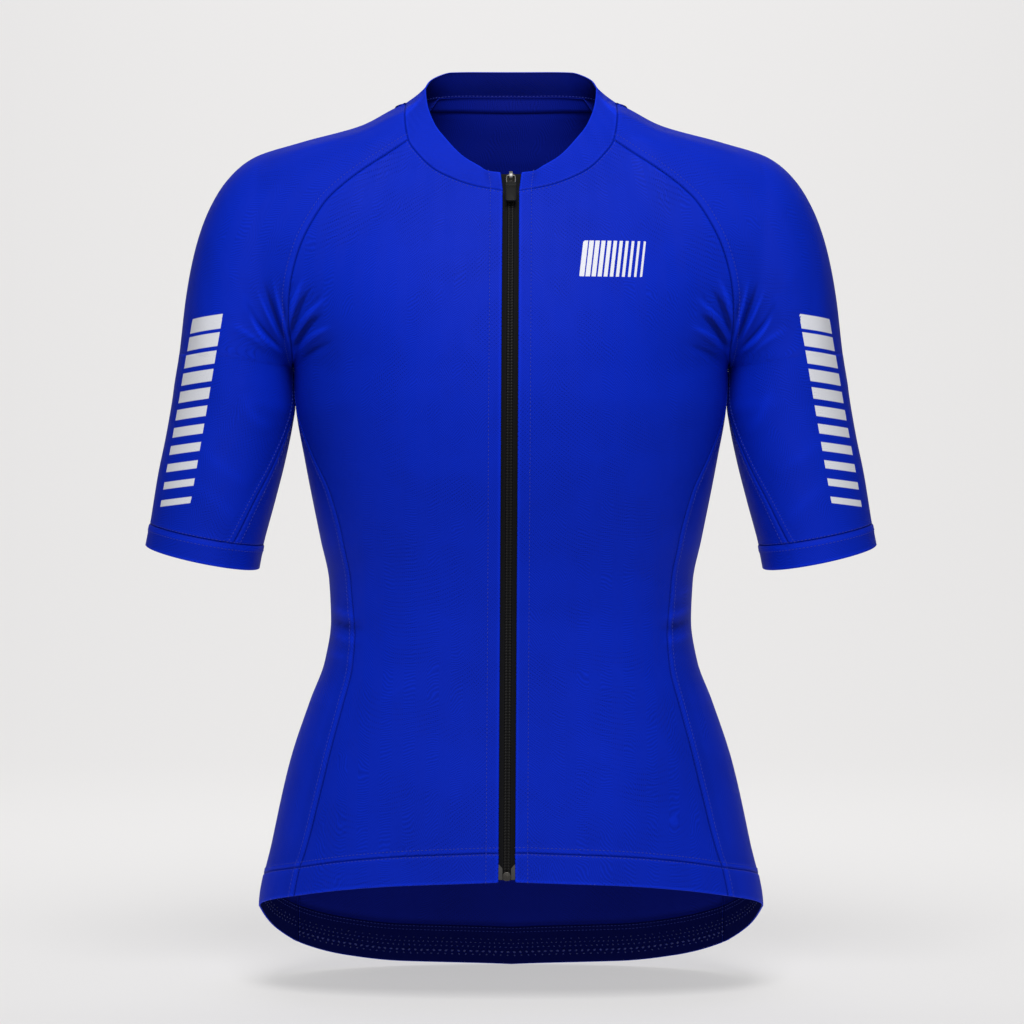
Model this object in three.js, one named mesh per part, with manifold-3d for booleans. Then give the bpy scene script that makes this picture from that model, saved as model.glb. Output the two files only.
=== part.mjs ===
// Cycling jersey: a short-sleeved, full-zip raglan jersey, filled out as it is worn, hollow inside.
// Millimetres, +Z up. The front faces -Y and the wearer's left is +X.
// The origin is the shoulder level on the middle line, where the wearer's shoulders hold the jersey up.

import * as THREE from "three";
import Module from "manifold-3d";
import { mergeVertices } from "three/addons/utils/BufferGeometryUtils.js";

const wasm = await Module();
wasm.setup();

// Cloth: wall of one layer, and how far the folded bands stand out over it
const clothWall = 1.2;
const bandRise = 0.4;
const bandWall = clothWall + bandRise;
const seamGap = 0.3;
const collarFootGap = 0.5;

// Zip: half-width of the slot between the fronts, its line of topstitching, and its lean at the bottom
const slotHalf = 6.2;
const topstitchHalf = 14.5;
const zipLean = 3.0;
const zipTopZ = -51;
const zipBottomZ = -549;
const chainHalf = 2.3;
const chainTopZ = -61.6;
const stopTopZ = -540;
const stopWidth = 9;
const tapeWall = 1;
const chainRise = -0.3;
const chainWall = 2.4;

// Slider on the zip's slope, the arch over it, and the pull that hangs from the arch
const sliderZ = -56.2;
const sliderWidth = 7.2;
const sliderLength = 11.5;
const sliderBack = -1.2;
const sliderTop = 0.9;
const archWidth = 2.6;
const archLength = 7;
const archThick = 0.8;
const archClear = 2.4;
const archAhead = 1.6;
const archSunk = 0.05;
const hingeAlong = 2.4;
const barHalf = 0.5;
const barRoom = 0.35;
const loopWidth = 7.2;
const loopLength = 10;
const tabWidth = 7.7;
const tabLength = 17;
const tabThick = 1.8;
const tabStandoff = 6;
const tabEndZ = -73;
const sliderRound = 1.6;
const loopRound = 0.8;
const windowRound = 0.3;
const tabRound = 1.8;

// Hems and cuffs: height of the band at the front, the side and the back
const frontBand = 20;
const sideBand = 23;
const backBand = 28;
const cuffTilt = 3;

// Pocket panel on the back: how many of the back's rows it covers from the hem up, and its wall
const pocketRows = 10;
const pocketWall = 1;

// Torso sections: half-width of the outline, depth in front and behind, and roundness
const torso = table("z halfWidth front back power", [
  [-640, 183.5, 104, 113, 2.3],
  [-579, 183.4, 105, 112, 2.3],
  [-531, 174, 103, 108, 2.3],
  [-473, 161, 98.5, 99, 2.3],
  [-429, 146.4, 95, 88, 2.3],
  [-400, 135.6, 93, 81, 2.3],
  [-371, 131.2, 92.5, 78, 2.3],
  [-342, 132.5, 95, 78, 2.3],
  [-312, 138.7, 100, 80, 2.3],
  [-254, 150.2, 111.5, 86, 2.25],
  [-214, 156.9, 114.5, 89, 2.25],
  [-187, 158.2, 113, 90, 2.2],
  [-150, 174, 106.5, 90, 2.2],
  [-120, 184, 98, 87, 2.2],
  [-90, 187, 86, 83, 2.2],
  [-57, 184, 71, 74, 2.2],
  [-40, 178, 62, 69, 2.2],
  [-28, 166, 55, 64, 2.2],
  [-16, 128, 48, 60, 2.2],
  [-4, 95, 41, 56, 2.2],
  [6, 76.9, 37, 53.5, 2.2],
  [12, 73, 35, 52.5, 2.2],
  [20, 68, 33, 51.5, 2.2],
]);

// Shoulder and sleeve sections from the neck to the cuff: the end at the armpit, the outer end, depths
const sleeve = table("row innerX innerZ outerX outerZ front back", [
  [-1, 159, -188, 40, 14, 0, 0],
  [0, 159, -188, 76.9, 6, 52, 54],
  [1, 159, -188, 110, -10.2, 56, 58],
  [2, 159, -188, 152.6, -22, 58, 60],
  [3, 159, -188, 188, -33.6, 59, 61],
  [4, 159, -188, 208, -51, 59, 61],
  [5, 159, -188, 223.4, -79, 59, 61],
  [6, 159, -188, 232, -108, 58, 60],
  [7, 159, -188, 237.2, -137, 57, 59],
  [8, 159, -188, 242, -178, 56, 57],
  [8.75, 157.5, -215, 245.6, -200, 53.8, 54.8],
  [9, 158.8, -225, 246.5, -207, 53, 54],
  [10, 164.6, -254, 251.5, -236, 51, 52],
  [11, 171.9, -283, 257.3, -264, 49, 50],
  [12, 180.7, -316, 263.2, -300, 46, 48],
  [13, 184, -333, 266.2, -315.4, 45, 47],
]);
const neckRow = 0;
const armpitRow = 8;
const cuffSeamRow = 12;
const cuffEdgeRow = 13;
const shoulderBlend = 34;
const underarmTurn = 57;

// Seams down the sides: degrees round from the middle of the front
const sideSeams = table("z front back", [
  [-640, 62, 119],
  [-565, 59.3, 120],
  [-512, 55.8, 122],
  [-467, 54.6, 122],
  [-428, 55, 121],
  [-394, 57, 119],
  [-347, 59.9, 117],
  [-311, 60, 115],
  [-279, 62.5, 111],
  [-246, 72, 104],
  [-215, 81, 98],
  [-190, 86.5, 93.5],
]);
const armpitSeamZ = -190;
const frontArmpitLevel = -215;
const backArmpitLevel = -200;
const underarmNormalZ = -0.3;

// Near the armpit's crease, a piece takes its own normals and is trimmed by more
const creaseClearZ = 4;
const creaseReach = 30;
const creaseTrim = 2;
const creaseNear = 20;
const creaseFar = 50;

// Lower edge of the jersey: degrees round from the middle of the front
const hemEdge = table("angle z band", [
  [0, -550, frontBand],
  [25, -553.5, frontBand],
  [40, -557.5, frontBand],
  [58, -564.5, frontBand],
  [75, -571.5, 21],
  [90, -580, sideBand],
  [108, -600.8, 25],
  [121, -615, 27],
  [137, -626.8, backBand],
  [153, -633.4, backBand],
  [180, -637, backBand],
]);

// Neckline, seen from the front: across from the zip, and up. The front ends at the side of the neck.
const neckFront = path([
  [slotHalf, -64.3], [topstitchHalf, -62.8], [27, -60.2], [42.4, -54.6], [54.3, -48.2],
  [65.1, -37.9], [73.4, -25.4], [76.3, -8], [76.9, 6],
]);
const topstitchKnot = 1;
const frontRaglanKnot = 6;
const neckBack = path([
  [76.9, 6], [73, 8], [65, 11.5], [55, 14.5], [30, 16.8], [0, 17.2],
]);
const backRaglanKnot = 3;

// Raglan seams from the neckline to the armpit
const raglanFront = path([
  [73.4, -25.4], [88.1, -36.2], [105.6, -48], [119, -58.3], [131.3, -70.1], [140.7, -84.3],
  [148.4, -99.4], [153.3, -113.5], [157, -129.7], [158.9, -147.1], [159, -159], [157.9, -173], [158.7, -188],
]);
const raglanBack = path([
  [55, 14.5], [68, -4], [86, -28], [106, -52], [124, -76], [137, -98],
  [145.6, -120], [150.2, -140], [153.2, -158], [155.2, -174], [158.7, -188],
]);

// Upper edge of the collar: across, depth and height, from the zip to the side and on to the back
const collarFront = path([
  [7.8, -61.2, -50.6], [16.5, -60.4, -49.4], [22.4, -59.2, -45.9], [34.3, -55, -38.2], [46.3, -47, -25.3],
  [54.9, -37, -13.2], [60.7, -21, 3.2], [62.6, 0, 17.4],
]);
const collarBack = path([
  [62.6, 0, 17.4], [59.9, 18, 24.6], [51.5, 31, 30.8], [44.3, 36.8, 33.3], [25, 43, 34.4], [0, 45.2, 34.6],
]);

// Folds that run to the armpit and lie across the waist: both ends, bend, half-width and height
const folds = table("x1 z1 x2 z2 bend width height", [
  [192, -145, 164, -177, 2, 5, 2.6],
  [186, -124, 162, -172, -2, 5, 2.2],
  [132, -138, 158, -163, -2, 5, 2.2],
  [133, -158, 158, -177, 1, 5, 2.4],
  [110, -372, 131, -362, 2, 6, 1.6],
  [108, -384, 132, -378, 2, 6, 1.4],
]);

// How finely the pieces are divided
const raglanSteps = 14;
const sideSteps = 22;
const frontSteps = 10;
const backSteps = 9;
const sidePanelSteps = 5;
const sleeveSteps = 20;
const sleeveRings = 8;
const chainSteps = 32;

// A table whose rows are short lists and whose columns are named
function table(names, rows) {
  const result = {};
  names.split(" ").forEach((name, place) => {
    result[name] = rows.map((row) => row[place]);
  });
  return result;
}

// A smooth curve through a column of values that never swings past them
function smoothCurve(knots, values) {
  const last = knots.length - 1;
  const slopes = knots.slice(1).map((knot, i) => (values[i + 1] - values[i]) / (knot - knots[i]));
  const tangents = knots.map((knot, i) => {
    if (i === 0) {
      return slopes[0];
    }
    if (i === last) {
      return slopes[last - 1];
    }
    const before = slopes[i - 1];
    const after = slopes[i];
    return before * after <= 0 ? 0 : (2 * before * after) / (before + after);
  });
  return (at) => {
    const place = THREE.MathUtils.clamp(at, knots[0], knots[last]);
    let i = 0;
    while (i < last - 1 && place > knots[i + 1]) {
      i += 1;
    }
    const width = knots[i + 1] - knots[i];
    const t = (place - knots[i]) / width;
    const rise = values[i + 1] - values[i];
    const shape = (3 - 2 * t) * t * t;
    const bow = (1 - t) * (1 - t) * t * tangents[i] - t * t * (1 - t) * tangents[i + 1];
    return values[i] + rise * shape + width * bow;
  };
}

// A path through points, from 0 to 1 along its length; knots holds where each point lies
function path(points) {
  const lengths = [0];
  points.slice(1).forEach((point, i) => {
    lengths.push(lengths[i] + Math.hypot(...point.map((value, axis) => value - points[i][axis])));
  });
  const knots = lengths.map((length) => length / lengths.at(-1));
  const axes = points[0].map((_, axis) => smoothCurve(knots, points.map((point) => point[axis])));
  const at = (t) => axes.map((curve) => curve(t));
  at.knots = knots;
  return at;
}

const torsoHalfWidth = smoothCurve(torso.z, torso.halfWidth);
const torsoPower = smoothCurve(torso.z, torso.power);
const torsoReach = {
  front: smoothCurve(torso.z, torso.front),
  back: smoothCurve(torso.z, torso.back),
};
const sleeveEnds = ["innerX", "innerZ", "outerX", "outerZ"]
  .map((name) => smoothCurve(sleeve.row, sleeve[name]));
const sleeveReach = {
  front: smoothCurve(sleeve.row, sleeve.front),
  back: smoothCurve(sleeve.row, sleeve.back),
};
const hemZ = smoothCurve(hemEdge.angle, hemEdge.z);
const hemBand = smoothCurve(hemEdge.angle, hemEdge.band);
const sideSeam = {
  front: smoothCurve(sideSeams.z, sideSeams.front),
  back: smoothCurve(sideSeams.z, sideSeams.back),
};

// Depth of the torso at a point of the front view, below zero outside its outline
function torsoDepth(x, z, side) {
  const power = torsoPower(z);
  const rest = 1 - (Math.abs(x) / torsoHalfWidth(z)) ** power;
  return Math.sign(rest) * torsoReach[side](z) * Math.abs(rest) ** (1 / power);
}

// Row of the sleeve table whose section passes through a point of the front view
function sleeveRowAt(x, z) {
  let low = sleeve.row[0];
  let high = cuffEdgeRow;
  for (let step = 0; step < 26; step += 1) {
    const middle = (low + high) / 2;
    const [innerX, innerZ, outerX, outerZ] = sleeveEndsAt(middle);
    const turn = (outerX - innerX) * (z - innerZ) - (outerZ - innerZ) * (x - innerX);
    if (turn > 0) {
      high = middle;
    } else {
      low = middle;
    }
  }
  return (low + high) / 2;
}

// Depth of the shoulder and the sleeve at a point of the front view
function sleeveDepth(x, z, side) {
  const row = sleeveRowAt(x, z);
  const [innerX, innerZ, outerX, outerZ] = sleeveEndsAt(row);
  const spanX = outerX - innerX;
  const spanZ = outerZ - innerZ;
  const along = ((x - innerX) * spanX + (z - innerZ) * spanZ) / (spanX * spanX + spanZ * spanZ);
  const rest = 1 - (2 * along - 1) ** 2;
  return Math.sign(rest) * sleeveReach[side](row) * Math.sqrt(Math.abs(rest));
}

// Rise of the folds at a point of the front view
function foldRise(x, z) {
  let rise = 0;
  folds.x1.forEach((x1, i) => {
    const alongX = folds.x2[i] - x1;
    const alongZ = folds.z2[i] - folds.z1[i];
    const length = Math.hypot(alongX, alongZ);
    const t = ((x - x1) * alongX + (z - folds.z1[i]) * alongZ) / (length * length);
    const across = ((x - x1) * alongZ - (z - folds.z1[i]) * alongX) / length;
    const middle = folds.bend[i] * 4 * t * (1 - t);
    if (t > 0 && t < 1) {
      const away = (across - middle) / folds.width[i];
      rise += folds.height[i] * Math.sin(Math.PI * t) * Math.exp(-(away ** 2));
    }
  });
  return rise;
}

// Depth of the whole jersey: torso and sleeve run into each other in a soft hollow above the armpit
function jerseyDepth(x, z, side) {
  const body = torsoDepth(x, z, side);
  const arm = sleeveDepth(x, z, side);
  const blend = Math.min(shoulderBlend, 0.9 * Math.max(arm, 0));
  const overlap = Math.max(blend - Math.abs(body - arm), 0);
  const joined = Math.max(body, arm) + (blend > 0 ? (overlap * overlap) / (4 * blend) : 0);
  return joined + foldRise(x, z) * Math.min(1, Math.max(joined, 0) / 25);
}

// A point of the cloth over a point of the front view; x is measured away from the middle
function clothPoint(x, z, side) {
  const depth = Math.max(jerseyDepth(x, z, side), 0);
  return new THREE.Vector3(x, side === "front" ? -depth : depth, z);
}

// A point of the torso by its angle round from the middle of the front
function torsoPoint(angle, z) {
  const x = torsoHalfWidth(z) * Math.sin(THREE.MathUtils.degToRad(angle));
  return clothPoint(Math.max(x, 0), z, angle <= 90 ? "front" : "back");
}

// Angle round the torso of a point of the front view
function angleAt(x, z, side) {
  const angle = THREE.MathUtils.radToDeg(Math.asin(Math.min(x / torsoHalfWidth(z), 1)));
  return side === "front" ? angle : 180 - angle;
}

const mix = THREE.MathUtils.lerp;
const hemSeamZ = (angle) => hemZ(angle) + hemBand(angle);

// Blends four edges of a patch: each argument holds numbers at the asked place, corners the four ends
function fill(upper, lower, left, right, corners, down, across) {
  return upper.map((_, axis) => {
    const edges = mix(upper[axis], lower[axis], down) + mix(left[axis], right[axis], across);
    const first = mix(corners[0][axis], corners[1][axis], across);
    const last = mix(corners[2][axis], corners[3][axis], across);
    return edges - mix(first, last, down);
  });
}

// Height at which a side seam meets the seam of the hem
function seamFoot(side) {
  let z = hemZ(90);
  for (let step = 0; step < 12; step += 1) {
    z = hemSeamZ(sideSeam[side](z));
  }
  return z;
}

// Share of the way down a raglan seam at a row, closer together towards the armpit
const raglanShare = (row) => 1 - (1 - row / raglanSteps) ** 1.2;

// Outer edge of a front or back panel, as angle and height: down the raglan seam, then the side seam
function panelEdge(side, row) {
  const start = sideSeam[side](armpitSeamZ);
  if (row === raglanSteps) {
    return [start, armpitSeamZ];
  }
  if (row < raglanSteps) {
    const [x, z] = (side === "front" ? raglanFront : raglanBack)(raglanShare(row));
    const angle = angleAt(x, z, side);
    return [side === "front" ? Math.min(angle, start) : Math.max(angle, start), z];
  }
  const z = mix(armpitSeamZ, seamFoot(side), (row - raglanSteps) / sideSteps);
  return [sideSeam[side](z), z];
}

// Half of a front or back panel as rows of angle and height, from the line at middleX to the side
function halfPanel(side, steps, middleX, neckline, armpitLevel) {
  const middleAngle = (z) => angleAt(Math.max(middleX(z), 0), z, side);
  const foot = [sideSeam[side](seamFoot(side)), seamFoot(side)];
  const footStart = middleAngle(zipBottomZ);
  const topCorner = neckline(0);
  const corners = [topCorner, neckline(1), [footStart, hemSeamZ(footStart)], foot];
  const level = (row) =>
    row <= raglanSteps
      ? mix(topCorner[1], armpitLevel, raglanShare(row))
      : mix(armpitLevel, corners[2][1], (row - raglanSteps) / sideSteps);
  return counted(raglanSteps + sideSteps).map((row) => {
    const z = level(row);
    const down = (z - topCorner[1]) / (corners[2][1] - topCorner[1]);
    return counted(steps).map((column) => {
      const across = column / steps;
      const lowerAngle = mix(footStart, foot[0], across);
      const lower = [lowerAngle, hemSeamZ(lowerAngle)];
      return fill(neckline(across), lower, [middleAngle(z), z], panelEdge(side, row), corners, down, across);
    });
  });
}

function counted(steps) {
  return Array.from({ length: steps + 1 }, (_, i) => i);
}

// Turns a half's points to the wearer's left (hand 1) or right (hand -1)
const toHand = (points, hand) => points.map((row) => row.map((p) => new THREE.Vector3(p.x * hand, p.y, p.z)));

const zipX = (z) => (-zipLean * (z - zipTopZ)) / (zipBottomZ - zipTopZ);

// Rows of angle and height of one front panel beside the zip, whose lean makes one side wider
function frontAngles(hand) {
  const neckline = (across) => {
    const [x, z] = neckFront(mix(neckFront.knots[topstitchKnot], neckFront.knots[frontRaglanKnot], across));
    return [angleAt(x, z, "front"), z];
  };
  const stitchedX = (z) => topstitchHalf + hand * zipX(z);
  const stitched = halfPanel("front", frontSteps, stitchedX, neckline, frontArmpitLevel);
  return stitched.map((row, i) => {
    const z = i === 0 ? neckFront(0)[1] : row[0][1];
    return [[angleAt(slotHalf + hand * zipX(z), z, "front"), z], ...row];
  });
}

function backAngles() {
  const neckline = (across) => {
    const [x, z] = neckBack(mix(1, neckBack.knots[backRaglanKnot], across));
    return [angleAt(x, z, "back"), z];
  };
  return halfPanel("back", backSteps, () => 0, neckline, backArmpitLevel);
}

function sideAngles() {
  return counted(sideSteps).map((row) => {
    const front = panelEdge("front", raglanSteps + row);
    const back = panelEdge("back", raglanSteps + row);
    return counted(sidePanelSteps).map((column) => {
      const across = column / sidePanelSteps;
      const angle = mix(front[0], back[0], across);
      const straight = mix(front[1], back[1], across);
      const sag = hemSeamZ(angle) - mix(seamFoot("front"), seamFoot("back"), across);
      return [angle, straight + sag * (row / sideSteps) ** 3];
    });
  });
}

const ontoTorso = (angles) => angles.map((row) => row.map(([angle, z]) => torsoPoint(angle, z)));

// Band of a hem below a row of angles: three rows from the seam down to the edge
function hemBandAngles(angles) {
  const seam = angles.at(-1);
  return [0, 0.5, 1].map((down) => seam.map(([angle]) => [angle, mix(hemSeamZ(angle), hemZ(angle), down)]));
}

// Shoulder part of the sleeve: a row runs from the front raglan seam over the outline to the back one
function shoulderRow(row) {
  const share = raglanShare(row);
  const outer = sleeveEndsAt(mix(neckRow, armpitRow, row / raglanSteps)).slice(2);
  const outerTop = sleeveEndsAt(neckRow).slice(2);
  const half = sleeveSteps / 2;
  const toSilhouette = (across) => {
    const round = (1 - Math.cos(Math.PI * across)) / 2;
    const quarter = Math.sin((Math.PI / 2) * across);
    return mix(quarter, round, THREE.MathUtils.smoothstep(share, 0.75, 1));
  };
  return counted(sleeveSteps).map((column) => {
    const side = column <= half ? "front" : "back";
    const across = column <= half ? column / half : (sleeveSteps - column) / half;
    const seam = side === "front" ? raglanFront : raglanBack;
    const neck = side === "front"
      ? neckFront(mix(neckFront.knots[frontRaglanKnot], 1, across))
      : neckBack(mix(neckBack.knots[backRaglanKnot], 0, across));
    const reach = toSilhouette(across);
    const [x, z] = [0, 1].map((axis) => {
      const straight = mix(seam(share)[axis], outer[axis], reach);
      const straightTop = mix(seam(0)[axis], outerTop[axis], reach);
      return straight + (1 - share) * (neck[axis] - straightTop);
    });
    return clothPoint(x, z, side);
  });
}

function sleeveEndsAt(row) {
  return sleeveEnds.map((end) => end(row));
}

// Ring of the sleeve below the armpit, from its underarm seam round the outside and back
function sleeveRing(row) {
  const [innerX, innerZ, outerX, outerZ] = sleeveEndsAt(row);
  const share = (row - armpitRow) / (cuffSeamRow - armpitRow);
  return counted(sleeveSteps).map((column) => {
    const start = THREE.MathUtils.degToRad(underarmTurn * Math.min(share, 1));
    const turn = start + (2 * Math.PI * column) / sleeveSteps;
    const along = (1 - Math.cos(turn)) / 2;
    const side = Math.sin(turn) >= 0 ? "front" : "back";
    const point = clothPoint(mix(innerX, outerX, along), mix(innerZ, outerZ, along), side);
    point.z -= cuffTilt * share * Math.sin(turn);
    return point;
  });
}

const sleevePoints = () => [
  ...counted(raglanSteps - 1).map(shoulderRow),
  ...counted(sleeveRings).map((ring) => sleeveRing(mix(armpitRow, cuffSeamRow, ring / sleeveRings))),
];

const cuffPoints = () => [0, 0.5, 1].map((down) => sleeveRing(mix(cuffSeamRow, cuffEdgeRow, down)));

// Lower and upper edge of half the collar, matched to the columns of the front, the sleeve and the back
function collarHalf() {
  const sleeveShares = counted(sleeveSteps / 2).slice(1).map((i) => (2 * i) / sleeveSteps);
  const front = [
    0,
    ...counted(frontSteps).map((i) =>
      mix(neckFront.knots[topstitchKnot], neckFront.knots[frontRaglanKnot], i / frontSteps)),
    ...sleeveShares.map((share) => mix(neckFront.knots[frontRaglanKnot], 1, share)),
  ].map((t) => [clothPoint(...neckFront(t), "front"), new THREE.Vector3(...collarFront(t))]);
  const back = [
    ...sleeveShares.map((share) => mix(0, neckBack.knots[backRaglanKnot], share)),
    ...counted(backSteps).slice(1).map((i) => mix(neckBack.knots[backRaglanKnot], 1, i / backSteps)),
  ].map((t) => [clothPoint(...neckBack(t), "back"), new THREE.Vector3(...collarBack(t))]);
  return [...front, ...back];
}

function collarPoints() {
  const half = collarHalf();
  const mirrored = toHand(half.slice(0, -1).reverse(), -1);
  const whole = [...half, ...mirrored];
  return [0, 1 / 3, 2 / 3, 1].map((up) => whole.map(([low, high]) => low.clone().lerp(high, up)));
}

// Tangent along a line of points at one of them, true to the second order at the ends too
function tangent(line, i) {
  const last = line.length - 1;
  if (i > 0 && i < last) {
    return line[i + 1].clone().sub(line[i - 1]);
  }
  const step = i === 0 ? 1 : -1;
  if (last < 2) {
    return line[i + step].clone().sub(line[i]).multiplyScalar(step);
  }
  return line[i + step].clone().multiplyScalar(4)
    .addScaledVector(line[i], -3)
    .sub(line[i + 2 * step])
    .multiplyScalar(step);
}

const columnOf = (grid, column) => grid.map((row) => row[column]);

// Outward direction of the whole jersey's surface at a point above the armpits
function surfaceNormal(point) {
  const side = point.y <= 0 ? "front" : "back";
  const hand = point.x < 0 ? -1 : 1;
  const square = (right, up) => {
    const depth = jerseyDepth(Math.abs(point.x) + right, point.z + up, side);
    return depth * Math.abs(depth);
  };
  const step = 0.5;
  const across = square(-step, 0) - square(step, 0);
  const up = square(0, -step) - square(0, step);
  return new THREE.Vector3(hand * across, 4 * step * point.y, up).normalize();
}

// Whether a point is high enough and far enough from the armpit to take the whole jersey's direction
const takesSurfaceNormal = (point) =>
  point.z > armpitSeamZ + creaseClearZ && armpitDistance(point) > creaseReach;

// Unit normals of a grid of points; facing 1 or -1 turns them outwards
function normalsOf(grid, facing, ownOnly) {
  return grid.map((row, i) =>
    row.map((point, j) => {
      if (!ownOnly && takesSurfaceNormal(point)) {
        return surfaceNormal(point);
      }
      const across = tangent(row, j);
      const down = tangent(columnOf(grid, j), i);
      return across.cross(down).multiplyScalar(-facing).normalize();
    }));
}

// A cloth is a grid of points with the outward normal at each; facing 1 or -1 turns the normals out
const clothOf = (points, facing, ownOnly = false) => ({
  points,
  normals: normalsOf(points, facing, ownOnly),
});

const rowsOf = (cloth, from, to) => ({
  points: cloth.points.slice(from, to),
  normals: cloth.normals.slice(from, to),
});

const armpitDistance = (point) =>
  Math.hypot(Math.abs(point.x) - sleeve.innerX[0], point.z - sleeve.innerZ[0]);

// The cloth with its edges drawn in by half the seam gap, by more towards the armpit's crease, and by more
// at its first row where asked; a ring has no sides
function trimmed(cloth, { ring = false, first = seamGap / 2 } = {}) {
  const { points } = cloth;
  const pull = (from, to, by = seamGap / 2) => {
    const away = THREE.MathUtils.smoothstep(armpitDistance(from), creaseNear, creaseFar);
    const creased = 1 + creaseTrim * (1 - away);
    return from.clone().addScaledVector(to.clone().sub(from).normalize(), by * creased);
  };
  const lastRow = points.length - 1;
  const lastColumn = points[0].length - 1;
  const result = points.map((row) => row.map((point) => point.clone()));
  if (!ring) {
    points.forEach((row, i) => {
      result[i][0] = pull(row[0], row[1]);
      result[i][lastColumn] = pull(row[lastColumn], row[lastColumn - 1]);
    });
  }
  result[0] = result[0].map((point, j) => pull(point, result[1][j], first));
  result[lastRow] = result[lastRow].map((point, j) => pull(point, result[lastRow - 1][j]));
  return { points: result, normals: cloth.normals };
}

// Closed wall: the cloth's points lifted by rise, and a second layer wall further in
function wallGeometry({ points, normals }, { rise = 0, wall = clothWall, ring = false } = {}) {
  const width = points[0].length - (ring ? 1 : 0);
  const height = points.length;
  const layer = (lift) =>
    points.flatMap((row, i) =>
      row.slice(0, width).map((point, j) => point.clone().addScaledVector(normals[i][j], lift)));
  const inside = height * width;
  const faces = [];
  const quad = (a, b, c, d) => faces.push(a, b, c, a, c, d);
  const spans = ring ? width : width - 1;
  for (let i = 0; i < height - 1; i += 1) {
    for (let j = 0; j < spans; j += 1) {
      const next = (j + 1) % width;
      const corners = [i * width + j, i * width + next, (i + 1) * width + next, (i + 1) * width + j];
      quad(...corners);
      quad(...corners.map((index) => index + inside).reverse());
    }
  }
  const rim = (a, b) => quad(b, a, a + inside, b + inside);
  const low = (height - 1) * width;
  for (let j = 0; j < spans; j += 1) {
    const next = (j + 1) % width;
    rim(j, next);
    rim(low + next, low + j);
  }
  for (let i = 0; !ring && i < height - 1; i += 1) {
    rim((i + 1) * width, i * width);
    rim(i * width + width - 1, (i + 1) * width + width - 1);
  }
  return solidGeometry([...layer(rise), ...layer(rise - wall)], faces);
}

// Geometry of points and faces, with its faces turned outwards
function solidGeometry(points, faces) {
  let volume = 0;
  for (let i = 0; i < faces.length; i += 3) {
    const [a, b, c] = faces.slice(i, i + 3).map((index) => points[index]);
    volume += a.dot(b.clone().cross(c));
  }
  const ordered = volume < 0 ? faces.toReversed() : faces;
  const geometry = new THREE.BufferGeometry();
  geometry.setAttribute("position", new THREE.Float32BufferAttribute(points.flatMap((p) => p.toArray()), 3));
  geometry.setIndex(ordered);
  return geometry;
}

const clothBlue = new THREE.Color(0x1a30b0);
const zipBlack = new THREE.Color(0x141312);
const metalGrey = new THREE.Color(0x9a9a9a);

function piece(name, geometry, color, roughness = 0.6, metalness = 0) {
  const mesh = new THREE.Mesh(geometry, new THREE.MeshStandardMaterial({ color, roughness, metalness }));
  mesh.name = name;
  return mesh;
}

// Rows of points down one side of the zip, on the collar, the front and its hem: middle, edge, stitching
function zipRows(hand) {
  const collar = collarPoints().toReversed().slice(0, -1).map((row) => row.slice(0, 2));
  const angles = frontAngles(hand);
  const front = ontoTorso([...angles, ...hemBandAngles(angles).slice(1)]).map((row) => row.slice(0, 2));
  return toHand([...collar, ...front], hand).map(([edge, stitching]) => {
    const middle = edge.clone().setX(zipX(edge.z));
    return [middle, edge, stitching];
  });
}

// Depth of the zip's middle line: up the front to the neckline, then up the collar
function zipDepth(z) {
  const [edgeX, seamZ] = neckFront(0);
  if (z <= seamZ) {
    return -jerseyDepth(0, z, "front");
  }
  const [, topDepth, topZ] = collarFront(0);
  return mix(-jerseyDepth(edgeX, seamZ, "front"), topDepth, (z - seamZ) / (topZ - seamZ));
}

const zipPoint = (z) => new THREE.Vector3(zipX(z), zipDepth(z), z);

// A plate with round corners and an optional window, in the plane of x and y, thick along z from its back
function plate(width, top, bottom, radius, thickness, window) {
  const outline = (shape, half, high, low, round) => shape
    .moveTo(-half + round, low)
    .lineTo(half - round, low)
    .quadraticCurveTo(half, low, half, low + round)
    .lineTo(half, high - round)
    .quadraticCurveTo(half, high, half - round, high)
    .lineTo(-half + round, high)
    .quadraticCurveTo(-half, high, -half, high - round)
    .lineTo(-half, low + round)
    .quadraticCurveTo(-half, low, -half + round, low);
  const shape = outline(new THREE.Shape(), width / 2, top, bottom, radius);
  if (window) {
    shape.holes.push(outline(new THREE.Path(), window.width / 2, window.top, window.bottom, window.radius));
  }
  return new THREE.ExtrudeGeometry(shape, { depth: thickness, bevelEnabled: false, curveSegments: 3 });
}

// Joins closed shapes into one body
function joined(geometries) {
  const solids = geometries.map((geometry) => {
    const plain = geometry.index ? geometry.toNonIndexed() : geometry;
    const bare = new THREE.BufferGeometry().setAttribute("position", plain.getAttribute("position"));
    const merged = mergeVertices(bare, 1e-4);
    const triVerts = new Uint32Array(merged.index.array);
    const vertProperties = merged.attributes.position.array;
    return new wasm.Manifold(new wasm.Mesh({ numProp: 3, vertProperties, triVerts }));
  });
  const mesh = solids.reduce((whole, solid) => whole.add(solid)).getMesh();
  const geometry = new THREE.BufferGeometry();
  geometry.setAttribute("position", new THREE.BufferAttribute(mesh.vertProperties, 3));
  geometry.setIndex(new THREE.BufferAttribute(mesh.triVerts, 1));
  return geometry;
}

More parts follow.
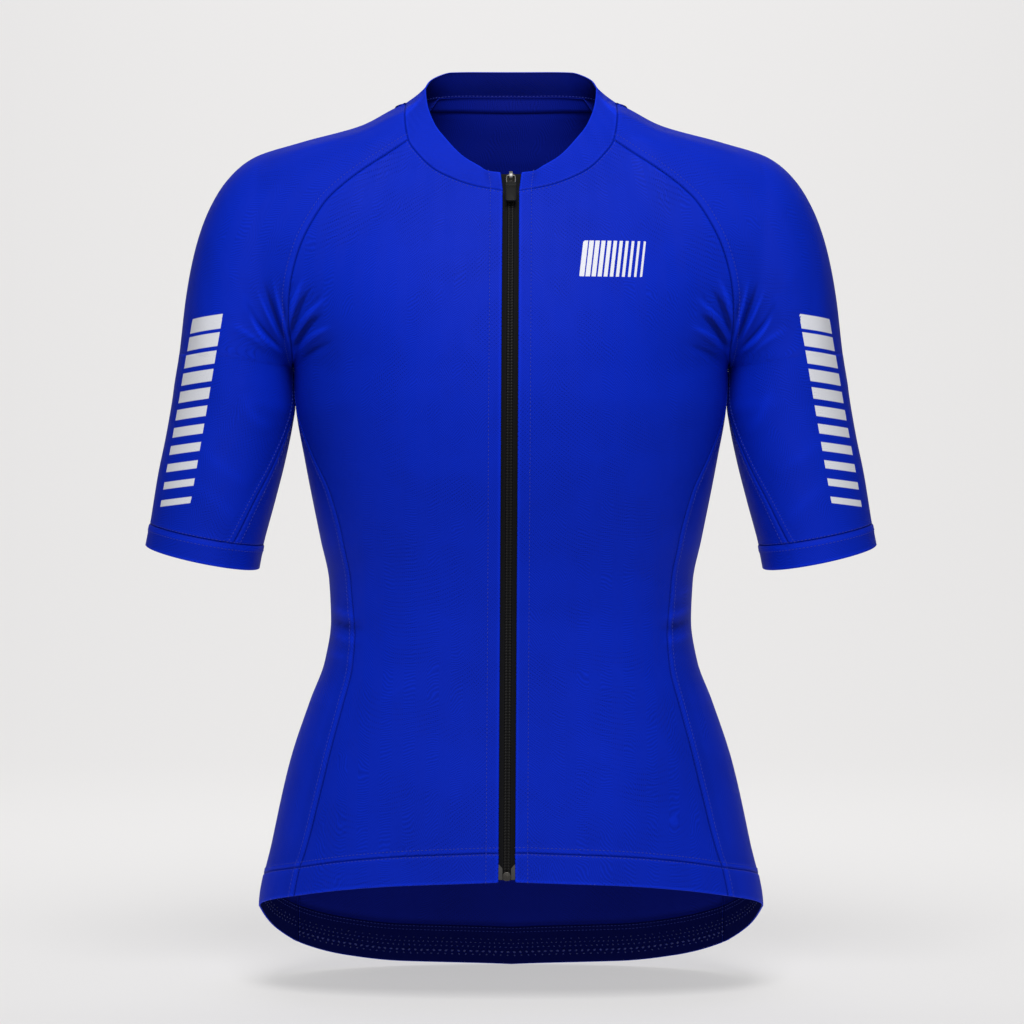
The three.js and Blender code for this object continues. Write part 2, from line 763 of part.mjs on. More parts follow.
// Arch over the slider, through which the loop of the pull passes
function sliderArch() {
  const arch = new THREE.Shape()
    .moveTo(0, 0)
    .lineTo(archThick, 0)
    .lineTo(archThick, archClear)
    .lineTo(archLength - archThick, archClear)
    .lineTo(archLength - archThick, 0)
    .lineTo(archLength, 0)
    .lineTo(archLength, archClear)
    .lineTo(archLength - archThick, archClear + archThick)
    .lineTo(archThick, archClear + archThick)
    .lineTo(0, archClear);
  const geometry = new THREE.ExtrudeGeometry(arch, { depth: archWidth, bevelEnabled: false });
  const upright = new THREE.Matrix4().makeBasis(
    new THREE.Vector3(0, 1, 0),
    new THREE.Vector3(0, 0, 1),
    new THREE.Vector3(1, 0, 0),
  );
  return geometry.applyMatrix4(upright).translate(
    -archWidth / 2,
    hingeAlong - archThick - barHalf - archAhead,
    sliderTop - archSunk,
  );
}

// Places a mesh whose y runs up a slope and whose z faces out of it
function onSlope(mesh, origin, slope) {
  mesh.position.copy(origin);
  mesh.rotation.x = slope;
  return mesh;
}

const jersey = new THREE.Group();
const add = (...args) => jersey.add(piece(...args));

const hands = { left: 1, right: -1 };
const band = { rise: bandRise, wall: bandWall };
const tape = { rise: -clothWall - seamGap, wall: tapeWall };
const chain = { rise: chainRise, wall: chainWall };

// Adds a panel and the hem band below it, whose shared rows keep one set of normals
function addPanel(names, panelAngles, toCloth) {
  const rows = panelAngles.length;
  const whole = toCloth([...ontoTorso(panelAngles), ...ontoTorso(hemBandAngles(panelAngles)).slice(1)]);
  add(names[0], wallGeometry(trimmed(rowsOf(whole, 0, rows))), clothBlue);
  add(names[1], wallGeometry(trimmed(rowsOf(whole, rows - 1)), band), clothBlue);
}

Object.entries(hands).forEach(([name, hand]) => {
  const handed = (points) => clothOf(toHand(points, hand), hand);
  addPanel([`front_${name}`, `hem_front_${name}`], frontAngles(hand), handed);
  addPanel([`side_${name}`, `hem_side_${name}`], sideAngles(), handed);
  const arm = handed([...sleevePoints(), ...cuffPoints().slice(1)]);
  [0, sleeveSteps].forEach((column) => {
    arm.normals[raglanSteps][column].set(-hand, 0, underarmNormalZ).normalize();
  });
  add(`sleeve_${name}`, wallGeometry(trimmed(rowsOf(arm, 0, -2))), clothBlue);
  const cuff = trimmed(rowsOf(arm, -3), { ring: true });
  add(`cuff_${name}`, wallGeometry(cuff, { ...band, ring: true }), clothBlue);
  const strip = zipRows(hand).map(([middle, edge, stitching]) => [
    middle.clone().setX(middle.x + hand * (chainHalf + seamGap)),
    edge,
    stitching,
  ]);
  add(`zip_tape_${name}`, wallGeometry(trimmed(clothOf(strip, hand, true)), tape), zipBlack);
});

// The back from half of its rows, mirrored to the other half
const wholeBack = (half) => half.map((row) => [...toHand([row.slice(1)], -1)[0].reverse(), ...row]);
const backRows = backAngles();
addPanel(["back", "hem_back"], backRows, (half) => clothOf(wholeBack(half), -1));
const pocketCloth = rowsOf(clothOf(wholeBack(ontoTorso(backRows)), -1), -pocketRows);
const pocketPanel = wallGeometry(trimmed(pocketCloth), { rise: seamGap + pocketWall, wall: pocketWall });
add("back_pockets", pocketPanel, clothBlue);
const collarCloth = trimmed(clothOf(collarPoints(), -1, true), { first: collarFootGap });
add("collar", wallGeometry(collarCloth, band), clothBlue);

// Chain between the tapes, and the box that closes it at the bottom
const chainLevels = [
  chainTopZ,
  neckFront(0)[1],
  ...counted(chainSteps).slice(1).map((i) => mix(neckFront(0)[1], stopTopZ + seamGap, i / chainSteps)),
];
const zipStrip = (levels, offsets) => levels.map((z) =>
  offsets.map((x) => zipPoint(z).add(new THREE.Vector3(x, 0, 0))));
const chainStrip = zipStrip(chainLevels, [-chainHalf, chainHalf]);
add("zip_chain", wallGeometry(clothOf(chainStrip, 1, true), chain), zipBlack);
const stopLevels = [stopTopZ, mix(stopTopZ, zipBottomZ, 0.5), zipBottomZ];
const stopStrip = zipStrip(stopLevels, [-stopWidth / 2, 0, stopWidth / 2]);
const stopPlate = { rise: sliderTop, wall: sliderTop - sliderBack };
add("zip_stop", wallGeometry(clothOf(stopStrip, 1, true), stopPlate), zipBlack);

// Slider on the slope of the collar, and the pull's loop and tab on a slope of their own
const collarSlope = Math.atan2(1, (zipDepth(zipTopZ) - zipDepth(chainTopZ)) / (zipTopZ - chainTopZ));
const sliderOrigin = zipPoint(sliderZ);
const sliderThick = sliderTop - sliderBack;
const sliderPlate = plate(sliderWidth, sliderLength / 2, -sliderLength / 2, sliderRound, sliderThick)
  .translate(0, 0, sliderBack);
const slider = piece("zip_slider", joined([sliderPlate, sliderArch()]), metalGrey, 0.3, 0.9);
jersey.add(onSlope(slider, sliderOrigin, collarSlope));

const hingeHeight = sliderTop + barRoom + barHalf * Math.SQRT2;
const hinge = new THREE.Vector3(0, hingeAlong, hingeHeight)
  .applyAxisAngle(new THREE.Vector3(1, 0, 0), collarSlope)
  .add(sliderOrigin);
const tabEnd = zipPoint(tabEndZ).add(new THREE.Vector3(0, -tabStandoff, 0));
const pullSlope = Math.atan2(hinge.z - tabEnd.z, hinge.y - tabEnd.y);
const loopWindow = {
  width: loopWidth - 4 * barHalf,
  top: -barHalf,
  bottom: barHalf - loopLength + barHalf,
  radius: windowRound,
};
const loop = plate(loopWidth, barHalf, -loopLength + barHalf, loopRound, 2 * barHalf, loopWindow)
  .translate(0, 0, -barHalf);
const tab = plate(tabWidth, 0, -tabLength, tabRound, tabThick)
  .translate(0, barHalf - loopLength - seamGap, -tabThick / 2);
jersey.add(onSlope(piece("zip_pull_loop", loop, metalGrey, 0.3, 0.9), hinge, pullSlope));
jersey.add(onSlope(piece("zip_pull_tab", tab, zipBlack), hinge, pullSlope));

export default jersey;
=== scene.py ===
"""Cycling jersey with a full zip, raglan sleeves and a gripper at the back hem, filled out as it is worn."""

import functools
import math

import bpy
import numpy as np
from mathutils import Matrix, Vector


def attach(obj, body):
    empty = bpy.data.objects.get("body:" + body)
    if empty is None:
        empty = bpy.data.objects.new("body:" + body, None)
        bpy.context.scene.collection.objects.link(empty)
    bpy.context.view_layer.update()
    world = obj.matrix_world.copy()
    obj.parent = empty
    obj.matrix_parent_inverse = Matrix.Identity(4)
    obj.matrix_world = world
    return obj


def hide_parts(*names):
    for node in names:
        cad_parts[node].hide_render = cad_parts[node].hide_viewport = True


bl_info = {
    "name": "Cycling Jersey",
    "version": (1, 0, 0),
    "blender": (4, 5, 0),
    "location": "View3D > Sidebar > Jersey",
    "description": "Builds a full-zip cycling jersey with its stitching, zip and gripper",
    "category": "Object",
}

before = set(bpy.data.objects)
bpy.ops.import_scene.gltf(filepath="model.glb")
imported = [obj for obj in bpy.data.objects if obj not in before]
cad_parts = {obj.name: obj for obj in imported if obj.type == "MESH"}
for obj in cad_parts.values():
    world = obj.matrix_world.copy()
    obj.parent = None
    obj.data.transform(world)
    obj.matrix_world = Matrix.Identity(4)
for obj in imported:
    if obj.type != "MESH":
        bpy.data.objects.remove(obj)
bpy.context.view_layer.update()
MM = 0.001
BODY = "jersey"
PULL_BODY = "zip_pull"
HANDS = {"left": 1, "right": -1}

# Zip: half-width of the slot, its topstitching, its lean towards the hem and its ends, in millimetres
SLOT_HALF = 6.2
TOPSTITCH_HALF = 14.5
ZIP_LEAN = 3.0
ZIP_TOP_Z = -51
ZIP_BOTTOM_Z = -549
CHAIN_HALF = 2.3
CHAIN_TOP_Z = -61.6
STOP_TOP_Z = -540

# Across the zip: points of the tapes, profile of the chain (across, up), pitch of its teeth, lines of its thread
ZIP_TAPE_OFFSETS = (CHAIN_HALF - 0.3, 3.0, 3.8, 4.8, 6, 7.4, 9, 11, 13)
CHAIN_PROFILE = (
    (-2.35, -0.95), (-2.2, -0.45), (-1.75, -0.15), (-1.1, -0.1), (-0.5, -0.2), (-0.22, -0.65), (0.0, -0.75),
    (0.22, -0.65), (0.5, -0.2), (1.1, -0.1), (1.75, -0.15), (2.2, -0.45), (2.35, -0.95),
)
TOOTH_PITCH = 2.03
THREAD_ACROSS = (-1.7, -1.65, 1.65, 1.7)

# The slider's middle and the pull's hinge, and the slopes of both in radians, as in the solids
SLIDER_ORIGIN = (-0.0313, -66.6318, -56.2)
SLIDER_SLOPE = 0.8006
HINGE = (-0.0313, -66.3656, -53.1146)
PULL_SLOPE = 0.8304

# Heights of the hem bands, tilt of the cuffs, top and division of the pockets, and depth of the neck tape
FRONT_BAND = 20
SIDE_BAND = 23
BACK_BAND = 28
CUFF_TILT = 3
POCKET_TOP_Z = -442
POCKET_DIVISION = 62
NECK_TAPE = 11

# Pockets: their gape at the top, the bag below it, the gather of the elastic edge and the dip of the divisions
POCKET_GAPE, POCKET_GAPE_REACH = 2.4, 45
BAG_DEPTH, BAG_LEVEL, BAG_REACH = 1.2, 110, 50
GATHER_HEIGHT, GATHER_LEVEL, GATHER_REACH = 0.22, 5, 9
DIVISION_DIP, DIVISION_REACH = 0.5, 2.2

# Rough lengths and widths of the pieces, which set how many points they have
RAGLAN_LENGTH, SIDE_LENGTH, BAND_LENGTH = 240, 380, 22
FRONT_WIDTH, BACK_WIDTH, SIDE_WIDTH = 178, 214, 120
SLEEVE_WIDTH, SLEEVE_LENGTH, CUFF_LENGTH = 180, 120, 17
COLLAR_LENGTH, COLLAR_HEIGHT = 150, 36
FINER = 0.7

# Cloth: dip of a seam and its softness, lift over an allowance, hollow of the collar, and the highlight painted along
# unsewn cut edges with its reach
SEAM_DIP = 0.7
SEAM_SOFTNESS = 0.85
ALLOWANCE_LIFT = 0.35
COLLAR_HOLLOW = 0.9
RIM_PAINTED_HIGHLIGHT = 0.9
RIM_REACH = 1.3
# The insides of the hem and the collar take darker copies of the inside cloth: painted shade, as these insides lie in
# shade
INSIDES = {"hem": "hem lining", "collar": "collar painted shade"}
HEM_INSIDES = ("hem_back", "hem_side_left", "hem_side_right")

# Rows of stitches on both hands and in the middle: piece, edge, distance from the edge, rise over the cloth
ZIP_TOPSTITCH = TOPSTITCH_HALF - SLOT_HALF
PAIRED_STITCHES = (
    ("front", "first", ZIP_TOPSTITCH, 0.1), ("hem_front", "first", ZIP_TOPSTITCH, 0.5), ("front", "top", 1.9, 0.1),
    ("front", "bottom", 4.0, 0.1), ("side", "bottom", 4.0, 0.1), ("sleeve", "first", 5.0, 0.1),
    ("side", "first", 5.0, 0.1), ("hem_side", "first", 5.0, 0.5), ("sleeve", "last", 5.0, 0.1),
    ("side", "last", 5.0, 0.1), ("hem_side", "last", 5.0, 0.5), ("cuff", "top", 4.4, 0.5),
    ("sleeve", "bottom", 1.2, 0.1), ("hem_front", "top", 0.9, 0.5), ("hem_side", "top", 0.9, 0.5),
)
MIDDLE_STITCHES = (
    ("collar", "first", 8.3, 0.5), ("collar", "last", 8.3, 0.5), ("back", "bottom", 4.0, 1.6),
    ("hem_back", "top", 0.9, 0.5), ("back_pockets", "top", 11.0, 1.5),
    ("back_pockets", "middle", -POCKET_DIVISION - 1.2, 1.4), ("back_pockets", "middle", -POCKET_DIVISION + 1.2, 1.4),
    ("back_pockets", "middle", POCKET_DIVISION - 1.2, 1.4), ("back_pockets", "middle", POCKET_DIVISION + 1.2, 1.4),
)

# Gripper inside the hem: pieces it lies on, distance below the band's seam; pitch, length and width in metres
GRIPPER = {
    "gripper_large": (("hem_back",), 19.0, 0.0047, 0.0034, 0.0024),
    "gripper_low": (("hem_back",), 21.6, 0.0053, 0.0022, 0.0014),
    "gripper_middle": (HEM_INSIDES, 15.5, 0.0041, 0.0021, 0.0013),
    "gripper_small": (HEM_INSIDES, 12.6, 0.0036, 0.0019, 0.0011),
    "gripper_top": (HEM_INSIDES, 9.8, 0.0057, 0.0019, 0.0010),
}

# Rows of slanted bars: how many, their colour, and for each row both ends (across, up), half-width and slant
MARK_BARS = 11.0
MARK_COLOUR = (0.66, 0.67, 0.72, 1.0)
MARKS = {
    "sleeve_left": (217, -151, 242, -291, 11.5, 0.3),
    "sleeve_right": (217, -151, 242, -291, 11.5, 0.3),
    "front_left": (49, -114, 95, -114, 13.0, 0.12),
}

# Torso sections in millimetres: height, half-width of the outline, depth in front and behind, roundness
TORSO = np.array([
    [-640, 183.5, 104, 113, 2.3],
    [-579, 183.4, 105, 112, 2.3],
    [-531, 174, 103, 108, 2.3],
    [-473, 161, 98.5, 99, 2.3],
    [-429, 146.4, 95, 88, 2.3],
    [-400, 135.6, 93, 81, 2.3],
    [-371, 131.2, 92.5, 78, 2.3],
    [-342, 132.5, 95, 78, 2.3],
    [-312, 138.7, 100, 80, 2.3],
    [-254, 150.2, 111.5, 86, 2.25],
    [-214, 156.9, 114.5, 89, 2.25],
    [-187, 158.2, 113, 90, 2.2],
    [-150, 174, 106.5, 90, 2.2],
    [-120, 184, 98, 87, 2.2],
    [-90, 187, 86, 83, 2.2],
    [-57, 184, 71, 74, 2.2],
    [-40, 178, 62, 69, 2.2],
    [-28, 166, 55, 64, 2.2],
    [-16, 128, 48, 60, 2.2],
    [-4, 95, 41, 56, 2.2],
    [6, 76.9, 37, 53.5, 2.2],
    [12, 73, 35, 52.5, 2.2],
    [20, 68, 33, 51.5, 2.2],
])

# Shoulder and sleeve sections: row, armpit end (across, up), outer end (across, up), depth in front and behind
SLEEVE = np.array([
    [-1, 159, -188, 40, 14, 0, 0],
    [0, 159, -188, 76.9, 6, 52, 54],
    [1, 159, -188, 110, -10.2, 56, 58],
    [2, 159, -188, 152.6, -22, 58, 60],
    [3, 159, -188, 188, -33.6, 59, 61],
    [4, 159, -188, 208, -51, 59, 61],
    [5, 159, -188, 223.4, -79, 59, 61],
    [6, 159, -188, 232, -108, 58, 60],
    [7, 159, -188, 237.2, -137, 57, 59],
    [8, 159, -188, 242, -178, 56, 57],
    [8.75, 157.5, -215, 245.6, -200, 53.8, 54.8],
    [9, 158.8, -225, 246.5, -207, 53, 54],
    [10, 164.6, -254, 251.5, -236, 51, 52],
    [11, 171.9, -283, 257.3, -264, 49, 50],
    [12, 180.7, -316, 263.2, -300, 46, 48],
    [13, 184, -333, 266.2, -315.4, 45, 47],
])
NECK_ROW = 0
ARMPIT_ROW = 8
CUFF_SEAM_ROW = 12
CUFF_EDGE_ROW = 13
SHOULDER_BLEND = 34
UNDERARM_TURN = 57

# Seams down the sides: height, degrees round from the middle of the front for the front and the back seam
SIDE_SEAMS = np.array([
    [-640, 62, 119],
    [-565, 59.3, 120],
    [-512, 55.8, 122],
    [-467, 54.6, 122],
    [-428, 55, 121],
    [-394, 57, 119],
    [-347, 59.9, 117],
    [-311, 60, 115],
    [-279, 62.5, 111],
    [-246, 72, 104],
    [-215, 81, 98],
    [-190, 86.5, 93.5],
])
ARMPIT_SEAM_Z = -190

# Lower edge: degrees round from the middle of the front, height, and height of the band on it
HEM_EDGE = np.array([
    [0, -550, FRONT_BAND],
    [25, -553.5, FRONT_BAND],
    [40, -557.5, FRONT_BAND],
    [58, -564.5, FRONT_BAND],
    [75, -571.5, 21],
    [90, -580, SIDE_BAND],
    [108, -600.8, 25],
    [121, -615, 27],
    [137, -626.8, BACK_BAND],
    [153, -633.4, BACK_BAND],
    [180, -637, BACK_BAND],
])

# Neckline seen from the front, across and up: from the zip to the side of the neck, and on to the back
NECK_FRONT = [
    (SLOT_HALF, -64.3), (TOPSTITCH_HALF, -62.8), (27, -60.2), (42.4, -54.6), (54.3, -48.2),
    (65.1, -37.9), (73.4, -25.4), (76.3, -8), (76.9, 6),
]
NECK_BACK = [(76.9, 6), (73, 8), (65, 11.5), (55, 14.5), (30, 16.8), (0, 17.2)]
TOPSTITCH_KNOT = 1
FRONT_RAGLAN_KNOT = 6
BACK_RAGLAN_KNOT = 3

# Raglan seams from the neckline to the armpit, across and up
RAGLAN = {
    "front": [
        (73.4, -25.4), (88.1, -36.2), (105.6, -48), (119, -58.3), (131.3, -70.1), (140.7, -84.3), (148.4, -99.4),
        (153.3, -113.5), (157, -129.7), (158.9, -147.1), (159, -159), (157.9, -173), (158.7, -188),
    ],
    "back": [
        (55, 14.5), (68, -4), (86, -28), (106, -52), (124, -76), (137, -98), (145.6, -120), (150.2, -140),
        (153.2, -158), (155.2, -174), (158.7, -188),
    ],
}

# Upper edge of the collar: across, depth and height
COLLAR_FRONT = [
    (7.8, -61.2, -50.6), (16.5, -60.4, -49.4), (22.4, -59.2, -45.9), (34.3, -55, -38.2), (46.3, -47, -25.3),
    (54.9, -37, -13.2), (60.7, -21, 3.2), (62.6, 0, 17.4),
]
COLLAR_BACK = [
    (62.6, 0, 17.4), (59.9, 18, 24.6), (51.5, 31, 30.8), (44.3, 36.8, 33.3), (25, 43, 34.4), (0, 45.2, 34.6),
]

# Stage, in metres: the floor's height and reach, the curve up to the backdrop, the camera, and where the glow fades;
# the floor's colour and glow are painted brighter near the jersey, as a pool of light
FLOOR_Z = -0.6375
FLOOR_REACH = 5.0
CURVE = 1.1
BACKDROP_Y = 3.0
BACKDROP_TOP = 3.0
CAMERA_X, CAMERA_Z = 0.0007, -0.292
GLOW_ASIDE, GLOW_IN_FRONT, GLOW_UP = (1.2, 2.6), (0.5, 1.6), (1.0, 2.4)
GLOW_NEAR = (1.0, 0.99, 0.985, 1.0)
GLOW_FAR = (0.16, 0.16, 0.16, 1.0)
SURROUNDINGS = (0.97, 0.98, 1.0, 1.0)

# Evening of the chest and the back beside the raglan seams: reach, and where it fades in and out
EVEN_REACH = 6
EVEN_ACROSS = (50, 70, 150, 175)
EVEN_UP = (-165, -115)
EVEN_DEPTH = (25, 45)
RIDGE_FROM = 0.7

# Soft folds by side: both ends (across, up), bend, half-width, height, hand (0 both, 1 left, -1 right)
FOLD_HEIGHT = 1.5
FOLDS = {
    "front": [
        (187, -149, 163, -179, -3.2, 3.0, 2.7, 0), (190, -139, 163, -176, -2.4, 2.0, -1.7, 0),
        (182, -129, 160, -177, -1.4, 2.7, 2.4, 0), (176, -124, 159, -176, -1.2, 1.8, -1.6, 0),
        (170, -121, 157, -178, -1.0, 2.3, 2.2, 0), (163, -132, 157, -176, -0.6, 1.8, -1.2, 0),
        (200, -160, 166, -186, 3.0, 3.6, 1.3, 1), (203, -156, 166, -184, 2.6, 3.6, 1.4, -1),
        (145, -122, 159, -166, -3.0, 2.4, 1.9, 0), (138, -128, 158, -168, -3.0, 2.2, -1.5, 0),
        (128, -138, 157, -171, -2.9, 2.8, 2.3, 0), (130, -150, 157, -175, -2.8, 2.2, -1.6, 0),
        (125, -160, 157, -180, -2.7, 3.0, 2.5, 0), (118, -172, 154, -186, -2.4, 3.2, -1.2, 1),
        (120, -170, 154, -185, -2.4, 3.2, -1.3, -1), (186, -196, 168, -236, -4, 7, 0.5, 1),
        (192, -204, 170, -232, -5, 7, 0.5, -1), (232, -228, 186, -262, -4, 11, 0.55, 1),
        (228, -234, 184, -270, -5, 11, 0.6, -1), (240, -262, 192, -300, 3, 12, 0.5, 0),
        (100, -368, 136, -358, 2, 3.6, 1.1, 0), (98, -376, 136, -367, 2, 3.0, -0.8, 0),
        (100, -385, 137, -377, 2, 3.8, 1.0, 0), (112, -353, 134, -345, 1, 4, 0.6, 1),
        (108, -396, 137, -391, 1, 4.5, 0.7, -1), (40, -398, 116, -436, -9, 12, 0.9, 1),
        (36, -404, 112, -446, -10, 12, 1.0, -1), (66, -438, 132, -482, -8, 13, 0.8, 0),
        (30, -456, 92, -490, -8, 11, 0.6, 1),
    ],
    "back": [
        (196, -150, 166, -178, 3, 3.6, 2.4, 0), (192, -138, 164, -174, 1, 2.4, -1.6, 0),
        (188, -126, 160, -170, -2, 3.2, 2.2, 0), (126, -128, 150, -162, -3, 3.4, 2.2, 0),
        (124, -142, 151, -170, -1, 2.4, -1.5, 0), (120, -156, 152, -178, 2, 3.4, 2.3, 0),
        (112, -176, 148, -188, 3, 4.0, 1.4, 1), (104, -366, 130, -358, 3, 4, 1.7, 1),
        (100, -380, 131, -372, 3, 4, 1.9, -1), (60, -352, 122, -344, 6, 7, 1.6, 0),
        (40, -338, 104, -326, 7, 7, 1.2, 1), (52, -366, 112, -360, 5, 6, 1.3, -1),
        (226, -240, 188, -266, -3, 7, 1.2, 0),
    ],
}


def smooth_curve(knots, values):
    """A smooth curve through values that never swings past them, as in the solids."""
    knots = np.asarray(knots, float)
    values = np.asarray(values, float)
    slopes = np.diff(values) / np.diff(knots)
    tangents = np.concatenate([slopes[:1], np.zeros(len(knots) - 2), slopes[-1:]])
    product = slopes[:-1] * slopes[1:]
    total = slopes[:-1] + slopes[1:]
    tangents[1:-1] = np.where(product > 0, 2 * product / np.where(total == 0, 1, total), 0)

    def at(place):
        place = np.clip(place, knots[0], knots[-1])
        i = np.clip(np.searchsorted(knots, place, side="left") - 1, 0, len(knots) - 2)
        width = knots[i + 1] - knots[i]
        t = (place - knots[i]) / width
        bow = (1 - t) ** 2 * t * tangents[i] - t * t * (1 - t) * tangents[i + 1]
        return values[i] + (values[i + 1] - values[i]) * (3 - 2 * t) * t * t + width * bow

    return at


class Path:
    """A path through points, from 0 to 1 along its length; knots holds where each point lies."""

    def __init__(self, points):
        points = np.asarray(points, float)
        lengths = np.concatenate([[0], np.cumsum(np.linalg.norm(np.diff(points, axis=0), axis=1))])
        self.knots = lengths / lengths[-1]
        self.axes = [smooth_curve(self.knots, points[:, axis]) for axis in range(points.shape[1])]

    def __call__(self, t):
        return [axis(t) for axis in self.axes]


def curves(table, *columns):
    """Smooth curves through columns of a table, along its first one."""
    return [smooth_curve(table[:, 0], table[:, column]) for column in columns]


SIDES = ("front", "back")
torso_half_width, torso_power = curves(TORSO, 1, 4)
torso_reach = dict(zip(SIDES, curves(TORSO, 2, 3)))
sleeve_ends = curves(SLEEVE, 1, 2, 3, 4)
sleeve_reach = dict(zip(SIDES, curves(SLEEVE, 5, 6)))
hem_z, hem_band = curves(HEM_EDGE, 1, 2)
side_seam = dict(zip(SIDES, curves(SIDE_SEAMS, 1, 2)))
neck_front = Path(NECK_FRONT)
neck_back = Path(NECK_BACK)
raglan = {side: Path(points) for side, points in RAGLAN.items()}
collar_front = Path(COLLAR_FRONT)
collar_back = Path(COLLAR_BACK)


def mix(a, b, t):
    return a + (b - a) * t


def smoothstep(value, low, high):
    t = np.clip((value - low) / (high - low), 0, 1)
    return t * t * (3 - 2 * t)


def bell(value, width, centre=0):
    """1 at the centre, falling off softly over the width."""
    return np.exp(-(((value - centre) / width) ** 2))


def torso_depth(x, z, side):
    """Depth of the torso at a point of the front view, below zero outside its outline."""
    power = torso_power(z)
    rest = 1 - (np.abs(x) / torso_half_width(z)) ** power
    return np.sign(rest) * torso_reach[side](z) * np.abs(rest) ** (1 / power)


def sleeve_row_at(x, z):
    """Row of the sleeve table whose section passes through a point of the front view."""
    low = np.full(np.shape(x), SLEEVE[0, 0])
    high = np.full(np.shape(x), float(CUFF_EDGE_ROW))
    for _ in range(26):
        middle = (low + high) / 2
        inner_x, inner_z, outer_x, outer_z = [end(middle) for end in sleeve_ends]
        turn = (outer_x - inner_x) * (z - inner_z) - (outer_z - inner_z) * (x - inner_x)
        high = np.where(turn > 0, middle, high)
        low = np.where(turn > 0, low, middle)
    return (low + high) / 2


def sleeve_depth(x, z, side):
    """Depth of the shoulder and the sleeve at a point of the front view."""
    row = sleeve_row_at(x, z)
    inner_x, inner_z, outer_x, outer_z = [end(row) for end in sleeve_ends]
    span_x = outer_x - inner_x
    span_z = outer_z - inner_z
    along = ((x - inner_x) * span_x + (z - inner_z) * span_z) / (span_x ** 2 + span_z ** 2)
    rest = 1 - (2 * along - 1) ** 2
    return np.sign(rest) * sleeve_reach[side](row) * np.sqrt(np.abs(rest))


def fold_rise(x, z, side, hand):
    """Rise of the soft folds at points of the front view on one half of the jersey."""
    rise = np.zeros(np.shape(x))
    for x1, z1, x2, z2, bend, width, height, fold_hand in FOLDS[side]:
        if fold_hand == -hand:
            continue
        length = math.hypot(x2 - x1, z2 - z1)
        t = ((x - x1) * (x2 - x1) + (z - z1) * (z2 - z1)) / length ** 2
        across = ((x - x1) * (z2 - z1) - (z - z1) * (x2 - x1)) / length - bend * 4 * t * (1 - t)
        on = np.clip(t, 0, 1)
        crest = np.exp(-(np.hypot(across, 0.5) / width) ** 1.5)
        rise = rise + FOLD_HEIGHT * height * np.sin(np.pi * on ** 1.5) * crest
    return rise


def joined_depth(x, z, side):
    """Depth of torso and sleeve run together in a soft hollow above the armpit."""
    body = torso_depth(x, z, side)
    arm = sleeve_depth(x, z, side)
    blend = np.minimum(SHOULDER_BLEND, 0.9 * np.maximum(arm, 0))
    overlap = np.maximum(blend - np.abs(body - arm), 0)
    return np.maximum(body, arm) + np.where(blend > 0, overlap ** 2 / (4 * np.maximum(blend, 1e-9)), 0)


def jersey_depth(x, z, side, hand=1):
    """Depth of the whole jersey with its folds, evened out where the raglan seams cross the chest and the back."""
    x, z = np.broadcast_arrays(np.asarray(x, float), np.asarray(z, float))
    joined = joined_depth(x, z, side)
    near, in_full, until, far = EVEN_ACROSS
    even = (x > near) & (x < far) & (z > EVEN_UP[0]) & (joined > EVEN_DEPTH[0])
    if even.any():
        near_x, near_z, depth = x[even], z[even], joined[even]
        total = 3 * depth
        for step, weight in ((EVEN_REACH, 2), (2 * EVEN_REACH, 1)):
            for shift in (step, -step):
                total = total + weight * joined_depth(near_x + shift, near_z, side)
        share = smoothstep(near_z, *EVEN_UP) * smoothstep(depth, *EVEN_DEPTH)
        share = share * smoothstep(near_x, near, in_full) * (1 - smoothstep(near_x, until, far))
        joined = joined.copy()
        joined[even] = mix(depth, total / 9, share)
    return joined + fold_rise(x, z, side, hand) * np.minimum(1, np.maximum(joined, 0) / 25)


def cloth_points(x, z, side, hand):
    """Points of the cloth over points of the front view; x is measured away from the middle."""
    depth = np.maximum(jersey_depth(x, z, side, hand), 0)
    return np.stack([x * hand, -depth if side == "front" else depth, z], axis=-1)


def torso_points(angles, hand):
    """Points of the torso by angle round from the middle of the front, and height."""
    angle, z = angles[..., 0], angles[..., 1]
    x = np.maximum(torso_half_width(z) * np.sin(np.radians(angle)), 0)
    front = cloth_points(x, z, "front", hand)
    back = cloth_points(x, z, "back", hand)
    return np.where(angle[..., None] <= 90, front, back)


def angle_at(x, z, side):
    """Angle round the torso of a point of the front view."""
    angle = np.degrees(np.arcsin(np.clip(x / torso_half_width(z), -1, 1)))
    return angle if side == "front" else 180 - angle


def hem_seam_z(angle):
    return hem_z(angle) + hem_band(angle)


def zip_x(z):
    return -ZIP_LEAN * (z - ZIP_TOP_Z) / (ZIP_BOTTOM_Z - ZIP_TOP_Z)


def seam_foot(side):
    """Height at which a side seam meets the seam of the hem."""
    z = hem_z(90.0)
    for _ in range(12):
        z = hem_seam_z(side_seam[side](z))
    return float(z)


def spaced(length, pitch):
    """Shares from 0 to 1 about a pitch apart, with two more close to each end so that a seam can dip."""
    count = max(int(round(length / pitch)), 2)
    shares = np.arange(count + 1) / count
    near = np.array([0.28, 0.62]) / count
    return np.concatenate([shares[:1], near, shares[1:-1], 1 - near[::-1], shares[-1:]])


def pair(a, b):
    return np.stack(np.broadcast_arrays(np.asarray(a, float), np.asarray(b, float)), axis=-1)


